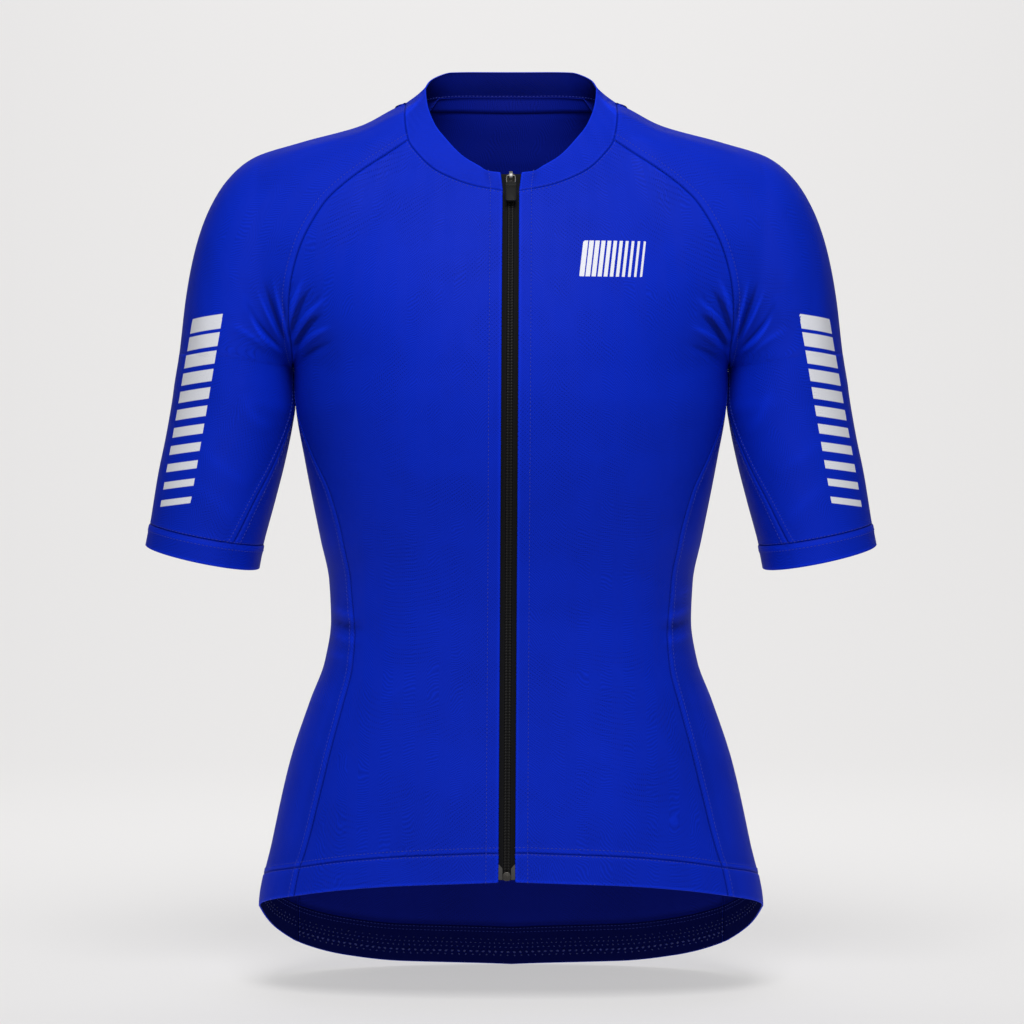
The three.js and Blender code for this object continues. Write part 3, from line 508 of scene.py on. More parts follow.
def half_panel(side, across, middle_x, top, armpit_level, pitch):
    """Half of a front or back panel: rows of angle and height from the middle line to the side."""
    foot_z = seam_foot(side)
    foot = pair(side_seam[side](foot_z), foot_z)
    start = side_seam[side](ARMPIT_SEAM_Z)
    foot_start = angle_at(max(middle_x(ZIP_BOTTOM_Z), 0), ZIP_BOTTOM_Z, side)
    lower_angle = mix(foot_start, foot[0], across)
    lower = pair(lower_angle, hem_seam_z(lower_angle))
    corner_z = float(hem_seam_z(foot_start))
    top_z = float(top[0, 1])
    shares = spaced(RAGLAN_LENGTH, pitch)[:-3]
    side_shares = np.concatenate([[0], spaced(SIDE_LENGTH, pitch)[3:]])
    rows = []
    for share in shares:
        x, z = raglan[side](share)
        angle = angle_at(x, z, side)
        edge = min(angle, start) if side == "front" else max(angle, start)
        rows.append((mix(top_z, armpit_level, share), edge, z))
    for share in side_shares:
        z = mix(ARMPIT_SEAM_Z, foot_z, share)
        rows.append((mix(armpit_level, corner_z, share), side_seam[side](z), z))
    grid = []
    for level, edge_angle, edge_z in rows:
        down = (level - top_z) / (corner_z - top_z)
        left = pair(angle_at(max(middle_x(level), 0), level, side), level)
        edges = mix(top, lower, down) + mix(left, pair(edge_angle, edge_z), across[:, None])
        first = mix(top[0], top[-1], across[:, None])
        last = mix(pair(foot_start, corner_z), foot, across[:, None])
        grid.append(edges - mix(first, last, down))
    return np.array(grid)


def band_angles(angles, pitch):
    """Rows of a hem band below the last row of a panel's angles."""
    angle = angles[-1, :, 0]
    shares = spaced(BAND_LENGTH, pitch)[:, None]
    return pair(np.broadcast_to(angle, (len(shares), len(angle))), mix(hem_seam_z(angle), hem_z(angle), shares))


def front_angles(hand, pitch):
    """Rows of one front panel beside the zip, whose lean makes one side wider."""
    across = spaced(FRONT_WIDTH, pitch)
    x, z = neck_front(mix(neck_front.knots[TOPSTITCH_KNOT], neck_front.knots[FRONT_RAGLAN_KNOT], across))
    neckline = pair(angle_at(x, z, "front"), z)
    grid = half_panel("front", across, lambda level: TOPSTITCH_HALF + hand * zip_x(level), neckline, -215, pitch)
    lead = np.array([0, 0.12, 0.3, 0.55, 0.8])
    drop = (NECK_FRONT[0][1] - NECK_FRONT[1][1]) * np.clip(1 - np.arange(len(grid)) / 6, 0, 1)
    z = grid[:, :1, 1] + (1 - lead) * drop[:, None]
    x = mix(SLOT_HALF, TOPSTITCH_HALF, lead) + hand * zip_x(z)
    return np.concatenate([pair(angle_at(x, z, "front"), z), grid], axis=1)


def back_angles(pitch):
    """Rows of half the back, from the middle to the side."""
    across = spaced(BACK_WIDTH, pitch)
    x, z = neck_back(mix(1, neck_back.knots[BACK_RAGLAN_KNOT], across))
    neckline = pair(angle_at(x, z, "back"), z)
    return half_panel("back", across, lambda level: 0 * level, neckline, -200, pitch)


def side_angles(pitch):
    """Rows of a side panel, from the armpit to the hem's seam."""
    rows = spaced(SIDE_LENGTH, pitch)[:, None]
    across = spaced(SIDE_WIDTH, pitch)
    ends = []
    for side in ("front", "back"):
        z = mix(ARMPIT_SEAM_Z, seam_foot(side), rows)
        ends.append((side_seam[side](z), z))
    angle = mix(ends[0][0], ends[1][0], across)
    straight = mix(ends[0][1], ends[1][1], across)
    sag = hem_seam_z(angle) - mix(seam_foot("front"), seam_foot("back"), across)
    return pair(angle, straight + sag * rows ** 3)


def over_ridge(depths, half):
    """Depths of rows that run up to the shoulder's outline, where half is 1, rounded off near it."""
    anchor = [np.interp(RIDGE_FROM, half, row) for row in depths]
    ridge = np.array(anchor)[:, None] * np.cos(np.pi / 2 * half) / math.cos(math.pi / 2 * RIDGE_FROM)
    return mix(depths, ridge, smoothstep(half, RIDGE_FROM - 0.1, RIDGE_FROM + 0.15))


def shoulder_points(parts, half, hand):
    """Rows of the sleeve's head: each runs from the front raglan seam over the outline to the back one."""
    parts = parts[:, None]
    share = 1 - (1 - parts) ** 1.2
    outer = [end(mix(NECK_ROW, ARMPIT_ROW, parts)) for end in sleeve_ends[2:]]
    outer_top = [end(NECK_ROW) for end in sleeve_ends[2:]]
    reach = mix(np.sin(np.pi / 2 * half), (1 - np.cos(np.pi * half)) / 2, smoothstep(share, 0.75, 1))
    sides = []
    for side, neck_t in (
        ("front", mix(neck_front.knots[FRONT_RAGLAN_KNOT], 1, half)),
        ("back", mix(neck_back.knots[BACK_RAGLAN_KNOT], 0, half)),
    ):
        neck = neck_front(neck_t) if side == "front" else neck_back(neck_t)
        seam = raglan[side](share)
        seam_top = raglan[side](0)
        x, z = [
            mix(seam[axis], outer[axis], reach)
            + (1 - share) * (neck[axis] - mix(seam_top[axis], outer_top[axis], reach))
            for axis in (0, 1)
        ]
        points = cloth_points(x, z, side, hand)
        points[..., 1] = over_ridge(points[..., 1], half)
        sides.append(points)
    return np.concatenate([sides[0], sides[1][:, -2::-1]], axis=1)


def ring_points(rows, half, hand):
    """Rings of the sleeve below the armpit, from its underarm seam round the outside and back."""
    rows = rows[:, None]
    share = (rows - ARMPIT_ROW) / (CUFF_SEAM_ROW - ARMPIT_ROW)
    turn = np.concatenate([half, 2 - half[-2::-1]]) * np.pi + np.radians(UNDERARM_TURN * np.minimum(share, 1))
    inner_x, inner_z, outer_x, outer_z = [end(rows) for end in sleeve_ends]
    along = (1 - np.cos(turn)) / 2
    x = mix(inner_x, outer_x, along)
    z = mix(inner_z, outer_z, along)
    front = cloth_points(x, z, "front", hand)
    back = cloth_points(x, z, "back", hand)
    points = np.where(np.sin(turn)[..., None] >= 0, front, back)
    points[..., 2] -= CUFF_TILT * share * np.sin(turn)
    return points


def collar_points(pitch):
    """Rows of the collar from its seam up to its edge, round from the left of the zip to the right."""
    t = spaced(COLLAR_LENGTH, pitch)
    front = cloth_points(*neck_front(t), "front", 1)
    knot = neck_front.knots[FRONT_RAGLAN_KNOT]
    front[:, 1] = over_ridge(front[None, :, 1], (t - knot) / (1 - knot))[0]
    back = cloth_points(*neck_back(t), "back", 1)
    half_back = 1 - t / neck_back.knots[BACK_RAGLAN_KNOT]
    back[::-1, 1] = over_ridge(back[None, ::-1, 1], half_back[::-1])[0]
    low = np.concatenate([front, back[1:]])
    high = np.concatenate([np.stack(collar_front(t), axis=-1), np.stack(collar_back(t[1:]), axis=-1)])
    up = spaced(COLLAR_HEIGHT, pitch)[:, None, None]
    half = mix(low, high, up)
    side = unit(low[:, :2])
    half[..., :2] -= side * (COLLAR_HOLLOW * 4 * up * (1 - up))
    other = half[:, -2::-1] * [-1, 1, 1]
    return np.concatenate([half, other], axis=1)


def unit(vectors):
    return vectors / np.maximum(np.linalg.norm(vectors, axis=-1, keepdims=True), 1e-9)


class Cloth:
    """A piece of cut cloth: a grid of points with outward normals and distances to its sewn edges."""

    def __init__(self, points, facing, ring=False):
        self.points = points
        self.ring = ring
        across = np.gradient(points, axis=1)
        if ring:
            across[:, 0] = across[:, -1] = points[:, 1] - points[:, -2]
        self.normals = unit(-facing * np.cross(across, np.gradient(points, axis=0)))
        steps = np.linalg.norm(np.diff(points, axis=1), axis=-1)
        self.across = np.pad(np.cumsum(steps, axis=1), ((0, 0), (1, 0)))
        steps = np.linalg.norm(np.diff(points, axis=0), axis=-1)
        self.down = np.pad(np.cumsum(steps, axis=0), ((1, 0), (0, 0)))
        self.seam = np.full(points.shape[:2], 99.0)
        self.sewn = []

    def part(self, first, last):
        """The rows from first up to last, as a piece of its own with the same normals."""
        result = Cloth(self.points[first:last], 1, self.ring)
        result.normals = self.normals[first:last]
        result.across = self.across[first:last]
        result.down = self.down[first:last]
        return result

    def away(self, edge):
        """Distance of every point from an edge (top, bottom, first or last) or from the middle line."""
        return {
            "top": self.down - self.down[:1],
            "bottom": self.down[-1:] - self.down,
            "first": self.across - self.across[:, :1],
            "last": self.across[:, -1:] - self.across,
            "middle": self.across - self.across[:, self.across.shape[1] // 2, None],
        }[edge]

    def sew(self, edges, raised=""):
        """Sinks the cloth softly along its sewn edges, and lifts it where an allowance lies under it.

        raised gives the edges with an allowance and its width in millimetres, as in "first 5 last 5".
        """
        for edge in edges.split():
            self.seam = np.minimum(self.seam, self.away(edge))
        self.sewn = edges.split()
        lift = -SEAM_DIP * bell(self.seam, SEAM_SOFTNESS)
        words = raised.split()
        for edge, width in zip(words[::2], words[1::2]):
            away = self.away(edge)
            lift += ALLOWANCE_LIFT * (1 - smoothstep(away, float(width) - 0.4, float(width) + 1.2))
        self.points = self.points + self.normals * lift[..., None]
        return self

    def flat(self):
        """Cut size and area in metres."""
        a, b, c, d = self.points[:-1, :-1], self.points[:-1, 1:], self.points[1:, 1:], self.points[1:, :-1]
        area = np.linalg.norm(np.cross(c - a, d - b), axis=-1).sum() / 2
        width = (self.across[:, -1] - self.across[:, 0]).max()
        length = (self.down[-1] - self.down[0]).max()
        return (width * MM, length * MM), min(area * MM * MM, 0.999 * width * length * MM * MM)


def put(name, data):
    """An object of the data, in the scene."""
    obj = bpy.data.objects.new(name, data)
    bpy.context.scene.collection.objects.link(obj)
    return obj


def settle(piece, body, node=None):
    """Hides the solid of the node a piece stands for, if any, and attaches the piece to the body it moves with."""
    if node:
        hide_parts(node)
    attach(piece, body)


def write_values(piece, name, values):
    """Writes a number for each of the piece's points, which its material reads by name."""
    layer = piece.data.attributes.new(name, "FLOAT", "POINT")
    layer.data.foreach_set("value", values.astype(np.float32))


def outward(points, faces):
    """The faces of a closed shell, turned over if they look inwards."""
    spread = np.cross(points[faces[:, 2]] - points[faces[:, 0]], points[faces[:, 3]] - points[faces[:, 1]])
    return faces[:, ::-1] if (points[faces].mean(axis=1) * spread).sum() < 0 else faces


def make_mesh(name, points, faces, materials, slots=None):
    """An object of the points, in millimetres, and faces, which may be triangles, quads or longer."""
    mesh = bpy.data.meshes.new(name)
    mesh.from_pydata((np.asarray(points) * MM).tolist(), [], [list(face) for face in faces])
    for item in materials:
        mesh.materials.append(item)
    if slots is not None:
        mesh.polygons.foreach_set("material_index", np.asarray(slots, np.int32))
    mesh.polygons.foreach_set("use_smooth", np.ones(len(mesh.polygons), bool))
    mesh.update()
    return put(name, mesh)


def hollow_of(cloth):
    """How far each point lies below its neighbours a few millimetres off: above zero in a trough, and lowered along
    unsewn cut edges. The shaders paint shade where it is above zero and a highlight where it is below.
    """
    points = cloth.points
    total = np.zeros(points.shape[:2])
    for axis in (0, 1):
        size = points.shape[axis]
        place = np.arange(size)
        step = min(2, size - 1)
        before = np.take(points, np.clip(place - step, 0, size - 1), axis=axis)
        after = np.take(points, np.clip(place + step, 0, size - 1), axis=axis)
        bend = ((before + after) / 2 - points) * cloth.normals
        inner = (place >= step) & (place < size - step)
        total += bend.sum(axis=-1) * (inner[:, None] if axis == 0 else inner[None])
    # Painted highlight: unsewn cut edges are marked to be painted lighter
    for where in {"top", "bottom"} | (set() if cloth.ring else {"first", "last"}):
        if where not in cloth.sewn:
            total -= RIM_PAINTED_HIGHLIGHT * bell(cloth.away(where), RIM_REACH)
    return total


def wall_piece(name, cloth, rise, wall, materials):
    """A closed wall of cloth: its outside, its inside, and the cut edges between them."""
    height, width = cloth.points.shape[:2]
    columns = width - 1 if cloth.ring else width
    spans = columns if cloth.ring else columns - 1
    layers = [cloth.points + cloth.normals * rise, cloth.points + cloth.normals * (rise - wall)]
    inside = height * columns
    edges = [("top", np.s_[0], np.s_[1]), ("bottom", np.s_[-1], np.s_[-2])]
    if not cloth.ring:
        edges += [("first", np.s_[:, 0], np.s_[:, 1]), ("last", np.s_[:, -1], np.s_[:, -2])]
    grid = np.arange(inside).reshape(height, columns)
    middle = (layers[0] + layers[1])[:, :columns] / 2
    points = [layer[:, :columns].reshape(-1, 3) for layer in layers]
    faces = []
    rims = {}
    start = 2 * inside
    for where, edge, inner in edges:
        bulge = 0.05 if where in cloth.sewn else 0.38
        points.append(middle[edge] + unit(middle[edge] - middle[inner]) * (wall * bulge))
        count = len(points[-1])
        rims[where] = rim = np.arange(count) + start
        line = np.arange(count if cloth.ring else count - 1)
        following = (line + 1) % count
        for layer in (0, 1):
            side = grid[edge] + layer * inside
            quad = np.stack([side[line], side[following], rim[following], rim[line]], axis=-1)
            faces.append(quad[:, ::-1] if (where in ("top", "last")) == (layer == 0) else quad)
        start += count
    if not cloth.ring:
        for upright, across, row, column in (
            ("top", "first", 0, 0), ("bottom", "last", -1, -1), ("last", "top", 0, -1), ("first", "bottom", -1, 0),
        ):
            ends = [rims[where][(row if where in ("first", "last") else column)] for where in (upright, across)]
            corner = grid[row, column]
            faces.append(np.array([[ends[0], corner, ends[1], corner + inside]]))
    points = np.concatenate(points)
    right = np.roll(grid, -1, axis=1)
    a, b = grid[:-1, :spans], right[:-1, :spans]
    c, d = right[1:, :spans], grid[1:, :spans]
    outer = np.stack([a, b, c, d], axis=-1).reshape(-1, 4)
    slots = np.concatenate([np.zeros(len(outer)), np.ones(len(outer)), np.zeros(sum(map(len, faces)))])
    faces = np.concatenate([outer, outer[:, ::-1] + inside, *faces])
    obj = make_mesh(name, points, outward(points, faces).tolist(), materials, slots)
    place = np.stack([cloth.across[:, :columns], cloth.down[:, :columns]], axis=-1)
    uv = np.concatenate([place.reshape(-1, 2)] * 2 + [place[edge] for _, edge, _ in edges]) * MM
    corners = np.zeros(len(obj.data.loops), np.int32)
    obj.data.loops.foreach_get("vertex_index", corners)
    layer = obj.data.uv_layers.new(name="Cloth")
    layer.uv.foreach_set("vector", uv[corners].astype(np.float32).ravel())
    seam = cloth.seam[:, :columns]
    # Seam distances, and trough depths from which the shaders paint shade in troughs and a highlight on ridges and
    # cut edges; on the inside the trough depths are turned over
    hollow = hollow_of(cloth)[:, :columns]
    for key, values, inner in (("seam", seam, seam), ("hollow", hollow, -hollow)):
        rim = [values[edge] for _, edge, _ in edges]
        write_values(obj, key, np.concatenate([values.ravel(), inner.ravel(), *rim]))
    return obj


@functools.lru_cache(maxsize=None)
def cut_cloths(pitch):
    """All the pieces of cloth by node name, cut on the form with about this many millimetres between points."""
    cloths = {}

    def cut(names, edges, raised, angles, hand):
        band = band_angles(angles, pitch * FINER)[1:]
        whole = torso_points(np.concatenate([angles, band]), hand)
        whole = Cloth(whole, hand)
        cloths[names[0]] = whole.part(0, len(angles)).sew(edges[0], raised[0])
        cloths[names[1]] = whole.part(len(angles) - 1, None).sew(edges[1], raised[1])

    for name, hand in HANDS.items():
        cut(("front_" + name, "hem_front_" + name), ("top last bottom", "top last"),
            ("first 8 bottom 4", "first 8"), front_angles(hand, pitch * FINER), hand)
        cut(("side_" + name, "hem_side_" + name), ("first last bottom", "top first last"),
            ("first 5 last 5 bottom 4", "first 5 last 5"), side_angles(pitch), hand)
        half = spaced(SLEEVE_WIDTH, pitch * FINER)
        shoulder = shoulder_points(spaced(RAGLAN_LENGTH, pitch * FINER)[:-1], half, hand)
        rings = ring_points(mix(ARMPIT_ROW, CUFF_SEAM_ROW, spaced(SLEEVE_LENGTH, pitch * FINER)), half, hand)
        cuff = ring_points(mix(CUFF_SEAM_ROW, CUFF_EDGE_ROW, spaced(CUFF_LENGTH, pitch)), half, hand)
        arm = Cloth(np.concatenate([shoulder, rings, cuff[1:]]), hand)
        below = slice(len(shoulder), None)
        arm.normals[below, 0] = arm.normals[below, -1] = unit(arm.normals[below, 0] + arm.normals[below, -1])
        last = len(shoulder) + len(rings)
        cloths["sleeve_" + name] = arm.part(0, last).sew("top first last bottom", "first 5 last 5")
        cloths["cuff_" + name] = arm.part(last - 1, None)
        cloths["cuff_" + name].ring = True
        cloths["cuff_" + name].sew("top", "top 4.4")
    cloths.update(cut_back(pitch))
    cloths["collar"] = Cloth(collar_points(pitch), -1).sew("top")
    return cloths


def shape_pockets(cloth):
    """Lets the three pockets stand open a little at their tops, and gathers their elastic edge."""
    middle, down = cloth.away("middle"), cloth.away("top")
    reach = np.maximum(np.abs(middle).max(axis=1, keepdims=True), POCKET_DIVISION + 1)
    outer = (np.abs(middle) - POCKET_DIVISION) / (reach - POCKET_DIVISION)
    inner = (middle + POCKET_DIVISION) / (2 * POCKET_DIVISION)
    share = np.where(np.abs(middle) < POCKET_DIVISION, inner, outer)
    pouch = np.sin(np.pi * np.clip(share, 0, 1)) ** 2
    gape = pouch * bell(down, POCKET_GAPE_REACH) * POCKET_GAPE
    bag = pouch * bell(down, BAG_REACH, BAG_LEVEL) * BAG_DEPTH
    gather = GATHER_HEIGHT * np.sin(middle / 1.5 + 2 * np.sin(middle / 17)) * bell(down, GATHER_REACH, GATHER_LEVEL)
    division = -DIVISION_DIP * bell(np.abs(middle), DIVISION_REACH, POCKET_DIVISION)
    cloth.points = cloth.points + cloth.normals * (gape + bag + gather + division)[..., None]
    return cloth


def cut_back(pitch):
    """The back in one piece, its hem band, and the pocket panel that lies on it."""
    angles = back_angles(pitch)
    rows = len(angles)
    whole = np.concatenate([angles, band_angles(angles, pitch)[1:]])
    halves = [torso_points(whole, hand) for hand in (-1, 1)]
    cloth = Cloth(np.concatenate([halves[0][:, :0:-1], halves[1]], axis=1), -1)
    top = int(np.argmin(np.abs(angles[:, 0, 1] - POCKET_TOP_Z)))
    return {
        "back": cloth.part(0, rows).sew("top first last bottom", "bottom 4"),
        "hem_back": cloth.part(rows - 1, None).sew("top first last"),
        "back_pockets": shape_pockets(cloth.part(top, rows)).sew("first last bottom", "top 11"),
    }


def add_node(tree, kind, values=None, **settings):
    """Adds a node by its type, its settings, and its sockets' values or links, and returns its outputs."""
    node = tree.nodes.new(kind)
    for name, value in settings.items():
        setattr(node, name, value)
    for key, value in (values or {}).items():
        if isinstance(value, bpy.types.NodeSocket):
            tree.links.new(value, node.inputs[key])
        else:
            node.inputs[key].default_value = value
    return node.outputs


class Shade:
    """A socket of a shader whose values are added, multiplied and compared like numbers."""

    def __init__(self, shader, socket):
        self.shader = shader
        self.socket = socket

    def maths(self, operation, *others):
        """A calculation on this value and any others."""
        return self.shader.maths(operation, self, *others)

    def __add__(self, other):
        return self.maths("ADD", other)

    __radd__ = __add__

    def __mul__(self, other):
        return self.maths("MULTIPLY", other)

    __rmul__ = __mul__

    def __sub__(self, other):
        return self.maths("SUBTRACT", other)

    def __rsub__(self, other):
        return self.shader.maths("SUBTRACT", other, self)

    def __truediv__(self, other):
        return self.maths("DIVIDE", other)

    def __mod__(self, other):
        return self.maths("FLOORED_MODULO", other)

    def __pow__(self, other):
        return self.maths("POWER", other)

    def ramp(self, low, high):
        """0 up to low, 1 from high on, and a straight rise between them."""
        return self.shader.add("ShaderNodeMapRange", {0: self, 1: low, 2: high, 3: 0.0, 4: 1.0}, clamp=True)


class Shader:
    """The nodes of one material, whose surface starts with the given values."""

    def __init__(self, name, specular=0.5, **values):
        self.material = bpy.data.materials.new(name)
        self.material.use_nodes = True
        self.tree = self.material.node_tree
        self.surface = self.tree.nodes["Principled BSDF"]
        self.surface.inputs["Specular IOR Level"].default_value = specular
        for socket, value in values.items():
            self.surface.inputs[socket.replace("_", " ")].default_value = value

    def add(self, kind, values=None, output=0, **settings):
        values = {key: value.socket if isinstance(value, Shade) else value for key, value in (values or {}).items()}
        return Shade(self, add_node(self.tree, kind, values, **settings)[output])

    def maths(self, operation, *values):
        return self.add("ShaderNodeMath", dict(enumerate(values)), operation=operation)

    def cloth_place(self):
        """Millimetres across and down the cloth."""
        uv = self.add("ShaderNodeUVMap", uv_map="Cloth")
        return [self.add("ShaderNodeSeparateXYZ", {0: uv}, axis) * 1000.0 for axis in (0, 1)]

    def attribute(self, name):
        return self.add("ShaderNodeAttribute", None, 2, attribute_name=name)

    def place(self):
        """Object coordinates."""
        return self.add("ShaderNodeTexCoord", None, 3)

    def noise(self, scale, detail=2.0):
        return self.add("ShaderNodeTexNoise", {"Vector": self.place(), "Scale": scale, "Detail": detail})

    def tint(self, factor, first, second):
        """A colour between two, by the factor."""
        return self.add("ShaderNodeMix", {0: factor, 6: first, 7: second}, 2, data_type="RGBA")

    def paint(self, **values):
        for socket, value in values.items():
            self.tree.links.new(value.socket, self.surface.inputs[socket.replace("_", " ")])

    def bump(self, height, distance):
        """Bumps in the surface of this depth in millimetres."""
        values = {"Height": height, "Distance": distance * MM, "Strength": 1.0}
        self.paint(Normal=self.add("ShaderNodeBump", values))


def shade_of(colour, amount):
    return (colour[0] * amount, colour[1] * amount, colour[2] * amount, 1.0)


def knit_cloth(name, colour, knit):
    """Fine herringbone knit with small eyelets and a soft sheen; the cloth darkens in its sewn seams. Shade is
    painted into its troughs and folds, and a highlight onto its ridges and cut edges.
    """
    shader = Shader(name, 0.05, Roughness=knit.roughness, Sheen_Weight=knit.sheen, Sheen_Roughness=0.35)
    across, down = shader.cloth_place()
    zigzag = across.maths("PINGPONG", knit.rib)
    wander = shader.noise(48.0, 3.0)
    broad = shader.noise(17.0, 2.0)
    turns = (down + zigzag * 1.1 + wander * knit.wander + broad * 40.0) * (2 * math.pi / knit.twill)
    twill = turns.maths("SINE")
    pitch = knit.eyelet_pitch
    rows = down / (pitch / 2)
    u = (across / pitch + (rows.maths("FLOOR") % 2.0) * 0.5) % 1.0 - 0.5
    v = rows % 1.0 - 0.5
    away = (u * u * pitch ** 2 + v * v * (pitch / 2) ** 2) ** 0.5
    patches = shader.noise(31.0, 2.0).ramp(0.42, 0.62)
    eyelet = (1.0 - away.ramp(knit.eyelet / 2 * 0.4, knit.eyelet / 2)) * patches
    seam = 1.0 - shader.attribute("seam").ramp(0.1, 1.1)
    mottle = shader.noise(9.0, 3.0)
    lines = twill.ramp(0.35, 1.0) * (1.0 - patches * 0.4)
    dark = eyelet * knit.eyelet_depth + seam * 0.36 + twill.ramp(-0.4, -1.0) * 0.16
    # Painted shade in troughs and folds, and painted highlight on ridges and unsewn cut edges, from the trough depths
    hollow = shader.attribute("hollow")
    ridge = (hollow * -1.0).ramp(0.12, 1.0)
    base = shader.tint(mottle.ramp(0.3, 0.7), shade_of(colour, 0.93), shade_of(colour, 1.07))
    base = shader.tint(lines * 0.3, base, shade_of(colour, 1.7))
    # Painted highlight on ridges and edges, then painted shade in troughs
    base = shader.tint(ridge * 0.5, base, shade_of(colour, 1.9))
    base = shader.tint(hollow.ramp(0.12, 1.0) * 0.6, base, shade_of(colour, 0.2))
    base = shader.tint(dark, base, shade_of(colour, 0.22))
    bar = shader.attribute("mark bar")
    near = ((bar * MARK_BARS) % 1.0 - 0.5).maths("ABSOLUTE") * 2.0
    width = 0.84 - bar * 0.5
    mark = (width - near).ramp(-0.04, 0.04) * shader.attribute("mark inside").ramp(0.0, 0.012)
    shader.paint(Base_Color=shader.tint(mark, base, MARK_COLOUR))
    shader.bump(twill * 0.5 - eyelet * 1.4 - seam * 1.2, 0.06)
    return shader.material


def plain_cloth(name, colour, roughness, pitch):
    """Plain fine knit or weave for the hem's inside and the zip's tapes, with a highlight painted onto ridges and cut
    edges.
    """
    shader = Shader(name, 0.06, Roughness=roughness)
    across, down = [place * (2 * math.pi / pitch) for place in shader.cloth_place()]
    weave = across.maths("SINE") * down.maths("SINE")
    seam = 1.0 - shader.attribute("seam").ramp(0.1, 1.1)
    # Painted highlight on ridges and unsewn cut edges
    ridge = (shader.attribute("hollow") * -1.0).ramp(0.12, 1.0)
    base = shader.tint(ridge * 0.5, shade_of(colour, 1), shade_of(colour, 1.9))
    shader.paint(Base_Color=shader.tint(seam * 0.36 + (weave * 0.5 + 0.5) * 0.15, base, shade_of(colour, 0.3)))
    shader.bump(weave - seam * 2.0, 0.05)
    return shader.material


def hard_finish(name, colour, roughness, metallic=0.0, coat=0.0, gloss=0.5):
    """Metal, plastic or rubber with a little unevenness in its gloss."""
    shader = Shader(name, gloss, Base_Color=shade_of(colour, 1), Metallic=metallic, Coat_Weight=coat)
    noise = shader.noise(400.0)
    shader.paint(Roughness=noise * 0.12 + (roughness - 0.06))
    shader.bump(noise, 0.02)
    return shader.material


def coil_finish():
    """Black moulded chain, ribbed across at the pitch of its teeth."""
    shader = Shader("Zip coil", 0.12, Roughness=0.5)
    rib = (shader.cloth_place()[1] * (2 * math.pi / TOOTH_PITCH)).maths("SINE")
    shader.paint(Base_Color=shader.tint(rib.ramp(-0.6, 0.6), (0.0022, 0.0022, 0.0022, 1), (0.0075, 0.0073, 0.007, 1)))
    shader.bump(rib, 0.12)
    return shader.material


@functools.lru_cache(maxsize=None)
def finishes():
    """The materials of the jersey by name."""
    sizes = bpy.context.scene.jersey_cloth
    return {
        "cloth": knit_cloth("Jersey cloth", sizes.colour, sizes),
        "lining": knit_cloth("Jersey inside", sizes.inside_colour, sizes),
        # Painted shade: the collar's and the hem's insides are darker copies of the inside colour
        "collar painted shade": knit_cloth("Collar inside painted shade", shade_of(sizes.inside_colour, 0.7), sizes),
        "hem lining": plain_cloth("Hem inside", shade_of(sizes.inside_colour, 0.35), 0.85, 0.8),
        "band": knit_cloth("Band cloth", sizes.colour, sizes),
        "tape": plain_cloth("Zip tape", (0.006, 0.006, 0.007), 0.8, 0.9),
        "metal": hard_finish("Zip metal", (0.24, 0.235, 0.225), 0.5, 1.0),
        "dark metal": hard_finish("Slider body", (0.055, 0.052, 0.048), 0.34, 1.0),
        "coil": coil_finish(),
        "zip thread": hard_finish("Zip thread", (0.022, 0.021, 0.018), 0.8, gloss=0.05),
        "stop plate": hard_finish("Stop plate", (0.05, 0.049, 0.048), 0.5, gloss=0.2),
        "rubber": hard_finish("Zip rubber", (0.009, 0.009, 0.0085), 0.5, gloss=0.14),
        "thread": hard_finish("Thread", (0.020, 0.036, 0.36), 0.7),
        "silicone": hard_finish("Silicone", (0.004, 0.012, 0.17), 0.28, 0.0, 0.25),
    }


